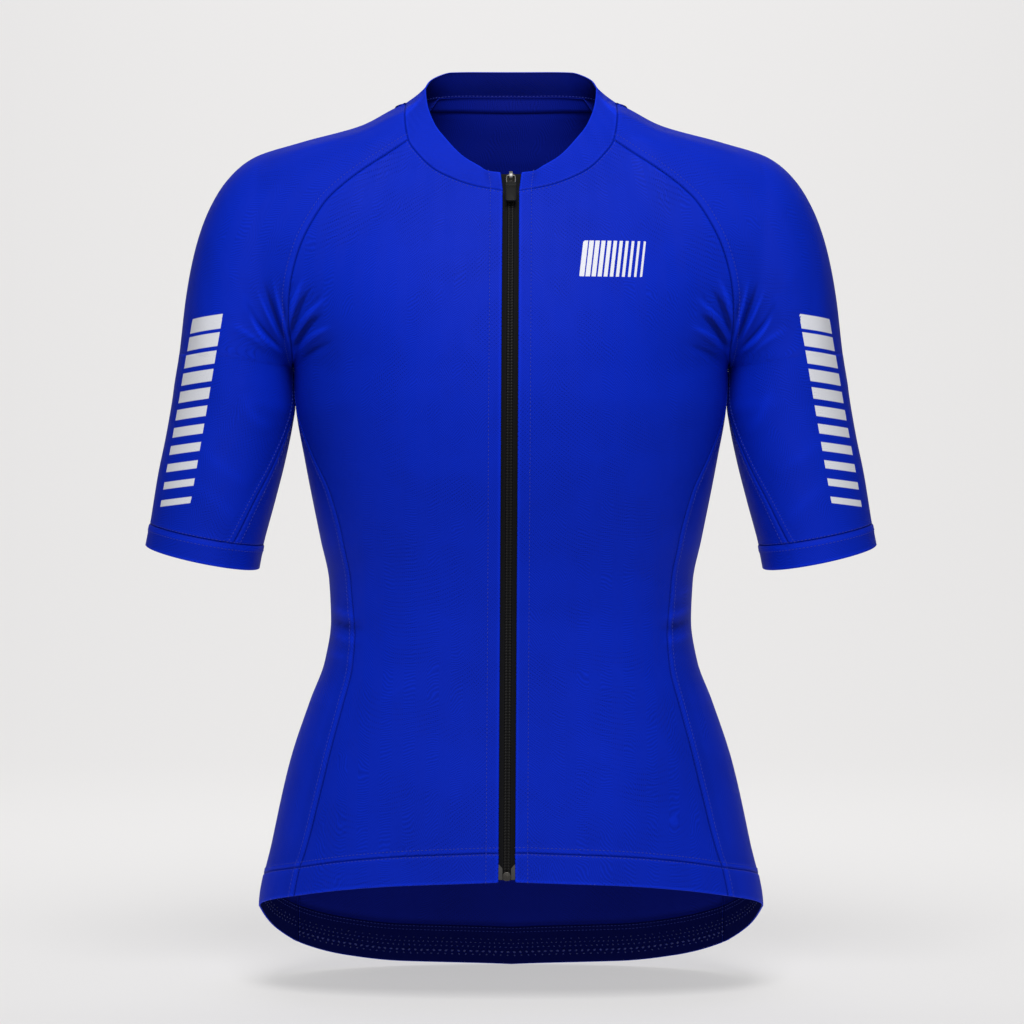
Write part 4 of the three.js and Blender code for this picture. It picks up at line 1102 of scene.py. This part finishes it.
@functools.lru_cache(maxsize=None)
def repeat_tree():
    """Nodes that set small rounded pieces along lines, facing the way the lines' facing attribute says."""
    tree = bpy.data.node_groups.new("Pieces along lines", "GeometryNodeTree")
    tree.interface.new_socket("Geometry", in_out="OUTPUT", socket_type="NodeSocketGeometry")
    kinds = {"Geometry": "Geometry", "Seed": "Int", "Material": "Material"}
    sockets = {}
    for name in ("Geometry", "Pitch", "Length", "Width", "Height", "Slant", "Unevenness", "Seed", "Material"):
        kind = "NodeSocket" + kinds.get(name, "Float")
        sockets[name] = tree.interface.new_socket(name, in_out="INPUT", socket_type=kind).identifier
    node = functools.partial(add_node, tree)
    given = node("NodeGroupInput")
    curve = node("GeometryNodeMeshToCurve", {0: given["Geometry"]})[0]
    points = node("GeometryNodeResampleCurve", {0: curve, "Length": given["Pitch"]}, mode="LENGTH")[0]
    size = node("ShaderNodeCombineXYZ", {0: given["Length"], 1: given["Width"], 2: given["Height"]})[0]
    bead = node("GeometryNodeMeshIcoSphere", {"Radius": 0.5, "Subdivisions": 1})[0]
    bead = node("GeometryNodeTransform", {0: bead, "Scale": size})[0]
    tangent = node("GeometryNodeInputTangent")[0]
    facing = node("GeometryNodeInputNamedAttribute", {0: "facing"}, data_type="FLOAT_VECTOR")[0]
    turn = node("FunctionNodeAxesToRotation", {0: tangent, 1: facing}, primary_axis="X", secondary_axis="Z")[0]
    uneven = node("ShaderNodeMath", {0: given["Unevenness"], 1: -1.0}, operation="MULTIPLY")[0]
    limits = {2: uneven, 3: given["Unevenness"], "Seed": given["Seed"]}
    sway = node("FunctionNodeRandomValue", limits, data_type="FLOAT")[1]
    slant = node("ShaderNodeMath", {0: given["Slant"], 1: sway}, operation="ADD")[0]
    slant = node("FunctionNodeEulerToRotation", {0: node("ShaderNodeCombineXYZ", {2: slant})[0]})[0]
    turn = node("FunctionNodeRotateRotation", {0: turn, 1: slant}, rotation_space="LOCAL")[0]
    placed = node("GeometryNodeInstanceOnPoints", {"Points": points, "Instance": bead, "Rotation": turn})[0]
    solid = node("GeometryNodeRealizeInstances", {0: placed})[0]
    finished = node("GeometryNodeSetMaterial", {0: solid, "Material": given["Material"]})[0]
    node("NodeGroupOutput", {0: finished})
    return tree, sockets


def repeated(name, lines, material, **sizes):
    """A plain mesh of small pieces along lines, each line an array of points and facings in millimetres."""
    tree, identifiers = repeat_tree()
    points = np.concatenate([line[0] for line in lines]) * MM
    facings = np.concatenate([line[1] for line in lines])
    edges = []
    start = 0
    for line in lines:
        edges += [(start + i, start + i + 1) for i in range(len(line[0]) - 1)]
        start += len(line[0])
    mesh = bpy.data.meshes.new(name)
    mesh.from_pydata(points.tolist(), edges, [])
    facing = mesh.attributes.new("facing", "FLOAT_VECTOR", "POINT")
    facing.data.foreach_set("vector", facings.astype(np.float32).ravel())
    guide = put(name + "_guide", mesh)
    modifier = guide.modifiers.new("Pieces", "NODES")
    modifier.node_group = tree
    values = {"Slant": 0.0, "Unevenness": 0.0, "Seed": 7, **sizes, "Material": material}
    for key, value in values.items():
        modifier[identifiers[key]] = value
    guide.update_tag()
    evaluated = guide.evaluated_get(bpy.context.evaluated_depsgraph_get())
    plain = bpy.data.meshes.new_from_object(evaluated)
    bpy.data.objects.remove(guide)
    if len(plain.polygons) == 0:
        raise RuntimeError(name + " came out empty")
    plain.polygons.foreach_set("use_smooth", np.ones(len(plain.polygons), bool))
    return put(name, plain)


def line_beside(cloth, edge, distance, rise, room=2.0):
    """A line on the cloth at a distance from one of its edges, where the cloth has room times that width."""
    grids = cloth.points, cloth.normals
    away = cloth.away(edge)
    if edge in ("top", "bottom"):
        grids = [grid.transpose(1, 0, 2) for grid in grids]
        away = away.T
    result = []
    for grid in grids:
        line = np.empty((len(grid), 3))
        for i, (row, steps) in enumerate(zip(grid, away)):
            if steps[0] > steps[-1]:
                row, steps = row[::-1], steps[::-1]
            line[i] = [np.interp(distance, steps, row[:, axis]) for axis in range(3)]
        result.append(line)
    points, facings = result
    kept = away.max(axis=1) > room * distance
    points, facings = points[kept], unit(facings[kept])
    return points + facings * rise, facings


def number(name, description, default, low=0.0, high=100.0, subtype="NONE"):
    """A number that the panel shows, with its name, what it is, and its limits."""
    return bpy.props.FloatProperty(
        name=name, description=description, default=default, min=low, max=high, subtype=subtype)


def colour(name, description, default):
    """A colour that the panel shows."""
    return bpy.props.FloatVectorProperty(
        name=name, description=description, default=default, min=0.0, max=1.0, subtype="COLOR")


class JerseyClothSizes(bpy.types.PropertyGroup):
    """Sizes and colours of the cloth."""

    pitch: number("Point spacing", "Distance between points of the cloth, in millimetres",
                  3.2, 2.0, 12.0)
    wall: number("Cloth wall", "Thickness of one layer of cloth, in millimetres", 0.9, 0.4, 2.0)
    band_rise: number("Band rise", "How far the folded bands stand over the cloth, in millimetres", 0.4, 0.0, 1.0)
    colour: colour("Cloth colour", "Colour of the outside of the cloth", (0.0012, 0.0165, 0.40))
    # The inside colour is darker than the outside: partly the duller reverse of the knit, partly painted shade of the
    # jersey's shaded inside
    inside_colour: colour("Inside colour", "Colour of the inside of the cloth", (0.0016, 0.008, 0.22))
    roughness: number("Roughness", "Roughness of the knit", 0.6, 0.0, 1.0, "FACTOR")
    sheen: number("Sheen", "Soft shine of the knit at grazing angles", 0.0, 0.0, 1.0, "FACTOR")
    rib: number("Herringbone width", "Width of one herringbone column, in millimetres", 8.5, 2.0, 20.0)
    twill: number("Twill pitch", "Distance between the slanting ribs, in millimetres", 1.9, 0.5, 5.0)
    wander: number("Wander", "How far the herringbone's lines wander, in millimetres", 9.0)
    eyelet: number("Eyelet", "Diameter of the small eyelets, in millimetres", 1.0, 0.2, 2.0)
    eyelet_pitch: number("Eyelet pitch", "Distance between eyelets in a row, in millimetres", 3.2, 1.0, 8.0)
    eyelet_depth: number("Eyelet darkness", "How dark the eyelets look", 0.5, 0.0, 1.0, "FACTOR")


class JerseyTrimSizes(bpy.types.PropertyGroup):
    """Sizes of the stitching and of the stitches on the zip."""

    stitch_pitch: number("Stitch pitch", "Distance from stitch to stitch", 0.0028, 0.001, 0.01, "DISTANCE")
    stitch_length: number("Stitch length", "Length of a stitch that shows", 0.0021, 0.0005, 0.01, "DISTANCE")
    thread: number("Thread", "Thickness of the thread", 0.00042, 0.0001, 0.002, "DISTANCE")
    tooth_pitch: number("Tooth pitch", "Distance between the zip's teeth", TOOTH_PITCH * MM, 0.001, 0.01, "DISTANCE")


class JerseyStageSizes(bpy.types.PropertyGroup):
    """Floor, lights and camera."""

    floor: colour("Floor colour", "Colour of the floor and backdrop", (0.30, 0.295, 0.293))
    glow: number("Floor glow", "Light that the floor and backdrop give of themselves, which softens shadows", 0.50)
    key_power: number("Key light", "Power of the soft light above the front", 30.0, 0.0, 1000.0, "POWER")
    fill_power: number("Fill light", "Power of the large soft light in front", 10.0, 0.0, 1000.0, "POWER")
    back_power: number("Backdrop light", "Power of the light on the backdrop", 45.0, 0.0, 1000.0, "POWER")
    ambient: number("Ambient", "Brightness of the pale surroundings", 0.14, 0.0, 4.0)
    camera_distance: number("Camera distance", "Distance of the camera from the jersey's middle", 2.4,
                            subtype="DISTANCE")
    lens: number("Lens", "Focal length of the camera in millimetres", 115.6, 20.0, 300.0)


def cloths():
    return cut_cloths(round(bpy.context.scene.jersey_cloth.pitch, 3))


def declare_cloth(piece, cloth, node=None):
    """Hides the solid of the node a piece of cloth stands for, if any, and attaches the piece to the body that holds
    it; the size it was cut to is worked out but not used.
    """
    settle(piece, BODY, node)
    flat, area = cloth.flat()


def mark_cloth(piece, hand, mark):
    """Writes where a mark's slanted bars lie on the front of a piece of cloth."""
    x1, z1, x2, z2, half_width, slant = mark
    points = np.zeros(len(piece.data.vertices) * 3)
    piece.data.vertices.foreach_get("co", points)
    x, y, z = points.reshape(-1, 3).T / MM
    x = x * hand
    length = math.hypot(x2 - x1, z2 - z1)
    along = ((x - x1) * (x2 - x1) + (z - z1) * (z2 - z1)) / length
    across = ((x - x1) * (z2 - z1) - (z - z1) * (x2 - x1)) / length
    bar = (along + slant * across) / length
    inside = np.where(y < 0, 1 - np.maximum(np.abs(across) / half_width, np.abs(2 * bar - 1)), -9)
    write_values(piece, "mark bar", bar)
    write_values(piece, "mark inside", inside)


def dress(nodes, outside="cloth", rise=0.0):
    """Makes the cloth of the nodes in the given finish."""
    sizes = bpy.context.scene.jersey_cloth
    for node in nodes:
        materials = [finishes()[outside], finishes()[INSIDES.get(node.split("_")[0], "lining")]]
        cloth = cloths()[node]
        piece = wall_piece(node + "_cloth", cloth, rise, sizes.wall + rise, materials)
        declare_cloth(piece, cloth, node)
        if node in MARKS:
            mark_cloth(piece, HANDS[node.split("_")[1]], MARKS[node])


class JERSEY_OT_panels(bpy.types.Operator):
    """Make the fronts, the side panels and the back"""

    bl_idname = "jersey.panels"
    bl_label = "Panels"

    def execute(self, context):
        dress(["front_left", "front_right", "side_left", "side_right", "back"])
        return {"FINISHED"}


class JERSEY_OT_sleeves(bpy.types.Operator):
    """Make the raglan sleeves"""

    bl_idname = "jersey.sleeves"
    bl_label = "Sleeves"

    def execute(self, context):
        dress(["sleeve_left", "sleeve_right"])
        return {"FINISHED"}


class JERSEY_OT_bands(bpy.types.Operator):
    """Make the collar, the cuffs and the hem bands"""

    bl_idname = "jersey.bands"
    bl_label = "Collar, cuffs and hems"

    def execute(self, context):
        bands = ["collar", "cuff_left", "cuff_right", "hem_back"]
        bands += [f"hem_{panel}_{name}" for panel in ("front", "side") for name in HANDS]
        dress(bands, "band", context.scene.jersey_cloth.band_rise)
        return {"FINISHED"}


class JERSEY_OT_pockets(bpy.types.Operator):
    """Make the panel of three pockets on the back"""

    bl_idname = "jersey.pockets"
    bl_label = "Back pockets"

    def execute(self, context):
        materials = [finishes()["cloth"], finishes()["lining"]]
        cloth = cloths()["back_pockets"]
        declare_cloth(wall_piece("back_pockets_cloth", cloth, 1.3, 1.0, materials), cloth, "back_pockets")
        return {"FINISHED"}


class JERSEY_OT_neck_tape(bpy.types.Operator):
    """Make the tape that covers the neck seam inside the back"""

    bl_idname = "jersey.neck_tape"
    bl_label = "Neck tape"

    def execute(self, context):
        back = cloths()["back"]
        rows = int(np.searchsorted(back.down[:, back.down.shape[1] // 2], NECK_TAPE)) + 1
        tape = back.part(0, max(rows, 2))
        sizes = context.scene.jersey_cloth
        piece = wall_piece("neck_tape", tape, -sizes.wall - 0.2, 0.6, [finishes()["lining"]] * 2)
        declare_cloth(piece, tape, None)
        return {"FINISHED"}


def zip_surface(offsets, levels):
    """Points of the zip's surface beside its middle line, up the front and on up the collar."""
    levels = np.asarray(levels, float)[:, None]
    seam_z = NECK_FRONT[0][1]
    _, top_depth, top_z = COLLAR_FRONT[0]
    x = zip_x(levels) + np.asarray(offsets, float)
    low = jersey_depth(np.abs(x), np.minimum(levels, seam_z), "front", 1)
    up = np.clip((levels - seam_z) / (top_z - seam_z), 0, 1)
    return np.stack(np.broadcast_arrays(x, -mix(low, -top_depth, up), levels), axis=-1)


class Plane:
    """A plane to draw plates on: an origin and three directions, in millimetres."""

    def __init__(self, origin, right, up):
        self.origin = np.asarray(origin, float)
        self.axes = np.array([right, up, np.cross(right, up)], float)

    def place(self, points):
        return self.origin + np.asarray(points, float) @ self.axes

    @classmethod
    def on_slope(cls, origin, slope):
        return cls(origin, (1, 0, 0), (0, math.cos(slope), math.sin(slope)))


def rounded(width, top, bottom, radius, steps=5):
    """Outline of a rectangle with round corners, anticlockwise."""
    turn = np.linspace(0, math.pi / 2, steps)
    arc = np.stack([np.cos(turn), np.sin(turn)], axis=1) * radius
    corners = []
    for x, y, quarter in ((1, top, 0), (-1, top, 1), (-1, bottom, 2), (1, bottom, 3)):
        angle = quarter * math.pi / 2
        spin = np.array([[math.cos(angle), math.sin(angle)], [-math.sin(angle), math.cos(angle)]])
        centre = (x * (width / 2 - radius), y - radius if y == top else y + radius)
        corners.append(arc @ spin + centre)
    return np.concatenate(corners)


def plate(name, plane, outline, back, front, bevel, material):
    """A flat plate with softened edges."""
    count = len(outline)
    points = [[(x, y, depth) for x, y in outline] for depth in (back, front)]
    faces = [list(range(count))[::-1], list(range(count, 2 * count))]
    faces += [[i, (i + 1) % count, (i + 1) % count + count, i + count] for i in range(count)]
    obj = make_mesh(name, plane.place(np.concatenate(points)), faces, [material])
    modifier = obj.modifiers.new("Edges", "BEVEL")
    modifier.width = bevel * MM
    modifier.segments = 3
    modifier.limit_method = "ANGLE"
    modifier.angle_limit = math.radians(40)
    return obj


def tube(name, points, radius, facing, material, sides=10):
    """A closed loop of round wire through points that lie in the plane that facing looks out of."""
    points = np.asarray(points, float)
    tangents = unit(np.roll(points, -1, axis=0) - np.roll(points, 1, axis=0))
    aside = unit(np.cross(facing, tangents))
    turn = np.arange(sides) * 2 * math.pi / sides
    ring = np.cos(turn)[None, :, None] * aside[:, None] + np.sin(turn)[None, :, None] * np.asarray(facing)
    grid = np.arange(len(points) * sides).reshape(len(points), sides)
    ahead, right = np.roll(grid, -1, axis=0), np.roll(grid, -1, axis=1)
    faces = np.stack([grid, right, np.roll(ahead, -1, axis=1), ahead], axis=-1).reshape(-1, 4)
    shell = (points[:, None] + ring * radius).reshape(-1, 3)
    return make_mesh(name, shell, outward(shell, faces).tolist(), [material])


class JERSEY_OT_zip(bpy.types.Operator):
    """Make the zip's tapes, its chain and the thread that sews the chain down"""

    bl_idname = "jersey.zip"
    bl_label = "Zip"

    def execute(self, context):
        trim = context.scene.jersey_trim
        neck_z = NECK_FRONT[0][1]
        levels = np.concatenate([np.linspace(ZIP_TOP_Z, neck_z, 6), np.linspace(neck_z - 2, ZIP_BOTTOM_Z, 190)])
        for name, hand in HANDS.items():
            tape = Cloth(zip_surface(hand * np.array(ZIP_TAPE_OFFSETS), levels), hand)
            piece = wall_piece(f"zip_tape_{name}_cloth", tape, -1.0, 0.7, [finishes()["tape"]] * 2)
            declare_cloth(piece, tape, "zip_tape_" + name)
        levels = levels[(levels < CHAIN_TOP_Z) & (levels > STOP_TOP_Z - 6)]
        profile = np.array(CHAIN_PROFILE)
        chain = Cloth(zip_surface(profile[:, 0], levels), 1)
        chain.points = chain.points + chain.normals * profile[:, 1:]
        piece = wall_piece("zip_chain_coil", chain, 0.25, 1.2, [finishes()["coil"]] * 2)
        settle(piece, BODY, "zip_chain")
        flat = Cloth(zip_surface(THREAD_ACROSS, levels), 1)
        lines = [(flat.points[:, i] + flat.normals[:, i] * 0.18, flat.normals[:, i]) for i in (0, 3)]
        dots = repeated("zip_chain_thread", lines, finishes()["zip thread"], Pitch=trim.tooth_pitch, Length=0.0011,
                        Width=0.0006, Height=0.0005)
        settle(dots, BODY)
        return {"FINISHED"}


class JERSEY_OT_slider(bpy.types.Operator):
    """Make the zip's slider, the pull that hangs from it, and the box at the zip's foot"""

    bl_idname = "jersey.slider"
    bl_label = "Slider, pull and stop"

    def execute(self, context):
        def add(name, plane, outline, thickness, bevel, finish, body=BODY, node=None):
            settle(plate(name, plane, outline, *thickness, bevel, finishes()[finish]), body, node)

        slope = Plane.on_slope(SLIDER_ORIGIN, SLIDER_SLOPE)
        add("slider_body", slope, rounded(7.2, 5.75, -5.75, 1.9), (-1.2, 0.85), 0.3, "dark metal", BODY, "zip_slider")
        turn = np.linspace(0, math.pi, 13)
        outer, inner = [
            [(3.0 + half * math.cos(a), 0.7 + height * math.sin(a) ** 0.7) for a in turn]
            for half, height in ((3.5, 3.3), (2.6, 2.5))
        ]
        upright = Plane(slope.origin, slope.axes[1], slope.axes[2])
        add("slider_arch", upright, outer + inner[::-1], (-1.25, 1.25), 0.25, "metal")

        hang = Plane.on_slope(HINGE, PULL_SLOPE)
        t = np.linspace(0, 1, 15)[1:-1]
        side = np.stack([2.6 + 0.5 * np.sin(np.pi * t) ** 0.6, -8.8 * t, 0 * t], axis=1)
        path = np.concatenate([
            [(-1.9, 0.0, 0), (0, 0.05, 0), (1.9, 0.0, 0)], side, [(2.2, -8.95, 0), (0, -9.0, 0), (-2.2, -8.95, 0)],
            side[::-1] * [-1, 1, 1],
        ])
        loop = tube("pull_loop", hang.place(path), 0.5, hang.axes[2], finishes()["metal"])
        settle(loop, PULL_BODY, "zip_pull_loop")
        tab = rounded(7.7, -9.6, -26.5, 1.7)
        add("pull_tab", hang, tab, (-0.9, 0.7), 0.35, "rubber", PULL_BODY, "zip_pull_tab")
        add("pull_tab_cover", hang, rounded(7.7, -8.0, -11.5, 0.8), (0.58, 0.95), 0.12, "rubber", PULL_BODY)
        rim = np.concatenate([rounded(6.3, -12.2, -25.6, 1.2), np.full((20, 1), 0.7)], axis=1)
        settle(tube("pull_tab_rim", hang.place(rim), 0.24, hang.axes[2], finishes()["rubber"], 6), PULL_BODY)

        low, high = zip_surface([0], [ZIP_BOTTOM_Z, STOP_TOP_Z])[:, 0]
        foot = Plane(low, (1, 0, 0), unit(high - low))
        add("stop_tongue", foot, rounded(6.0, 5.6, -0.6, 2.4), (-1.1, 0.95), 0.4, "dark metal", BODY, "zip_stop")
        for name, hand in HANDS.items():
            outline = np.array([(2.9, 0.1), (6.0, 0.3), (6.1, 10.6), (5.3, 10.7), (3.0, 8.0)]) * (hand, 1)
            add("stop_corner_" + name, foot, outline[::hand], (-0.95, -0.1), 0.12, "stop plate")
        return {"FINISHED"}


class JERSEY_OT_stitching(bpy.types.Operator):
    """Set the stitches along the seams, the zip, the bands and the pockets"""

    bl_idname = "jersey.stitching"
    bl_label = "Stitching"

    def execute(self, context):
        trim = context.scene.jersey_trim
        inner_rise = -context.scene.jersey_cloth.wall - 0.1

        def stitch(name, lines):
            settle(repeated(name, lines, finishes()["thread"], Pitch=trim.stitch_pitch, Length=trim.stitch_length,
                            Width=trim.thread, Height=trim.thread), BODY)

        rows = [(f"{piece}_{name}", *row) for name in HANDS for piece, *row in PAIRED_STITCHES]
        stitch("stitches", [line_beside(cloths()[node], *row) for node, *row in (*rows, *MIDDLE_STITCHES)])
        stitch("stitches_inside", [line_beside(cloths()["collar"], "top", 1.3, inner_rise)] + [
            line_beside(cloths()[node], "top", away, inner_rise, 1.1) for node in HEM_INSIDES for away in (1.2, 4.0)])
        return {"FINISHED"}


class JERSEY_OT_gripper(bpy.types.Operator):
    """Set the silicone bits that grip inside the back of the hem"""

    bl_idname = "jersey.gripper"
    bl_label = "Gripper"

    def execute(self, context):
        rise = -context.scene.jersey_cloth.wall - 0.15
        for name, (nodes, away, pitch, length, width) in GRIPPER.items():
            lines = [line_beside(cloths()[node], "top", away, rise, 1.1) for node in nodes]
            settle(repeated(name, lines, finishes()["silicone"], Pitch=pitch, Length=length, Width=width,
                            Height=0.0007, Unevenness=1.2, Seed=int(away * 7)), BODY)
        return {"FINISHED"}


class JERSEY_OT_stage(bpy.types.Operator):
    """Set the pale floor and backdrop, the soft lights and the camera"""

    bl_idname = "jersey.stage"
    bl_label = "Stage"

    def execute(self, context):
        sizes = context.scene.jersey_stage
        scene = context.scene
        scene.view_settings.view_transform = "Standard"
        turn = np.linspace(0, math.pi / 2, 13)
        curve = [(BACKDROP_Y - CURVE + CURVE * math.sin(a), FLOOR_Z + CURVE * (1 - math.cos(a))) for a in turn]
        profile = [(-FLOOR_REACH, FLOOR_Z), *curve, (BACKDROP_Y, BACKDROP_TOP)]
        points = np.array([(x, y, z) for y, z in profile for x in (-FLOOR_REACH, FLOOR_REACH)]) / MM
        faces = [(2 * i, 2 * i + 1, 2 * i + 3, 2 * i + 2) for i in range(len(profile) - 1)]
        backdrop = Shader("Pale floor", Roughness=0.9, Emission_Strength=sizes.glow)
        place = backdrop.place()
        x, y, z = [backdrop.add("ShaderNodeSeparateXYZ", {0: place}, axis) for axis in range(3)]
        # Painted pool of light: the floor and backdrop are lighter and glow more near the jersey, and darken away
        # from it
        far = x.maths("ABSOLUTE").ramp(*GLOW_ASIDE)
        far = far.maths("MAXIMUM", (y * -1.0).ramp(*GLOW_IN_FRONT))
        far = far.maths("MAXIMUM", z.ramp(*GLOW_UP))
        backdrop.paint(Base_Color=backdrop.tint(far, shade_of(sizes.floor, 1), shade_of(sizes.floor, 0.75)))
        backdrop.paint(Emission_Color=backdrop.tint(far, GLOW_NEAR, GLOW_FAR))
        make_mesh("stage_floor", points, faces, [backdrop.material])
        for name, power, size, place, aim in (
            ("stage_key", sizes.key_power, 0.8, (0.0, -1.15, 1.1), (0, 0, -0.2)),
            ("stage_fill", sizes.fill_power, 1.4, (0.0, -2.4, 0.25), (0, 0, -0.4)),
            ("stage_back", sizes.back_power, 2.0, (0.0, 1.0, 1.5), (0, 3.0, 0.0)),
        ):
            light = bpy.data.lights.new(name, "AREA")
            light.energy = power
            light.size = size
            lamp = put(name, light)
            lamp.location = place
            lamp.rotation_euler = (Vector(aim) - Vector(place)).to_track_quat("-Z", "Y").to_euler()
        world = bpy.data.worlds.new("Pale surroundings")
        world.use_nodes = True
        background = world.node_tree.nodes["Background"].inputs
        background["Color"].default_value = SURROUNDINGS
        background["Strength"].default_value = sizes.ambient
        scene.world = world
        camera = bpy.data.cameras.new("stage_camera")
        camera.lens = sizes.lens
        camera.sensor_width = 36
        view = put("stage_camera", camera)
        view.location = (CAMERA_X, -sizes.camera_distance, CAMERA_Z)
        view.rotation_euler = (math.pi / 2, 0, 0)
        scene.camera = view
        return {"FINISHED"}


OPERATORS = (
    JERSEY_OT_panels, JERSEY_OT_sleeves, JERSEY_OT_bands, JERSEY_OT_pockets, JERSEY_OT_neck_tape, JERSEY_OT_zip,
    JERSEY_OT_slider, JERSEY_OT_stitching, JERSEY_OT_gripper, JERSEY_OT_stage,
)


class JERSEY_PT_panel(bpy.types.Panel):
    """Lists the steps that build the jersey"""

    bl_idname = "JERSEY_PT_panel"
    bl_label = "Cycling Jersey"
    bl_space_type = "VIEW_3D"
    bl_region_type = "UI"
    bl_category = "Jersey"

    def draw(self, context):
        for operator in OPERATORS:
            self.layout.operator(operator.bl_idname)
        for group in (context.scene.jersey_cloth, context.scene.jersey_trim, context.scene.jersey_stage):
            for name in group.__annotations__:
                self.layout.prop(group, name)


CLASSES = (JerseyClothSizes, JerseyTrimSizes, JerseyStageSizes, *OPERATORS, JERSEY_PT_panel)


def register():
    for item in CLASSES:
        bpy.utils.register_class(item)
    bpy.types.Scene.jersey_cloth = bpy.props.PointerProperty(type=JerseyClothSizes)
    bpy.types.Scene.jersey_trim = bpy.props.PointerProperty(type=JerseyTrimSizes)
    bpy.types.Scene.jersey_stage = bpy.props.PointerProperty(type=JerseyStageSizes)


def unregister():
    del bpy.types.Scene.jersey_cloth, bpy.types.Scene.jersey_trim, bpy.types.Scene.jersey_stage
    for item in reversed(CLASSES):
        bpy.utils.unregister_class(item)


def main():
    register()
    for operator in OPERATORS:
        group, name = operator.bl_idname.split(".")
        getattr(getattr(bpy.ops, group), name)()


if __name__ == "__main__":
    main()
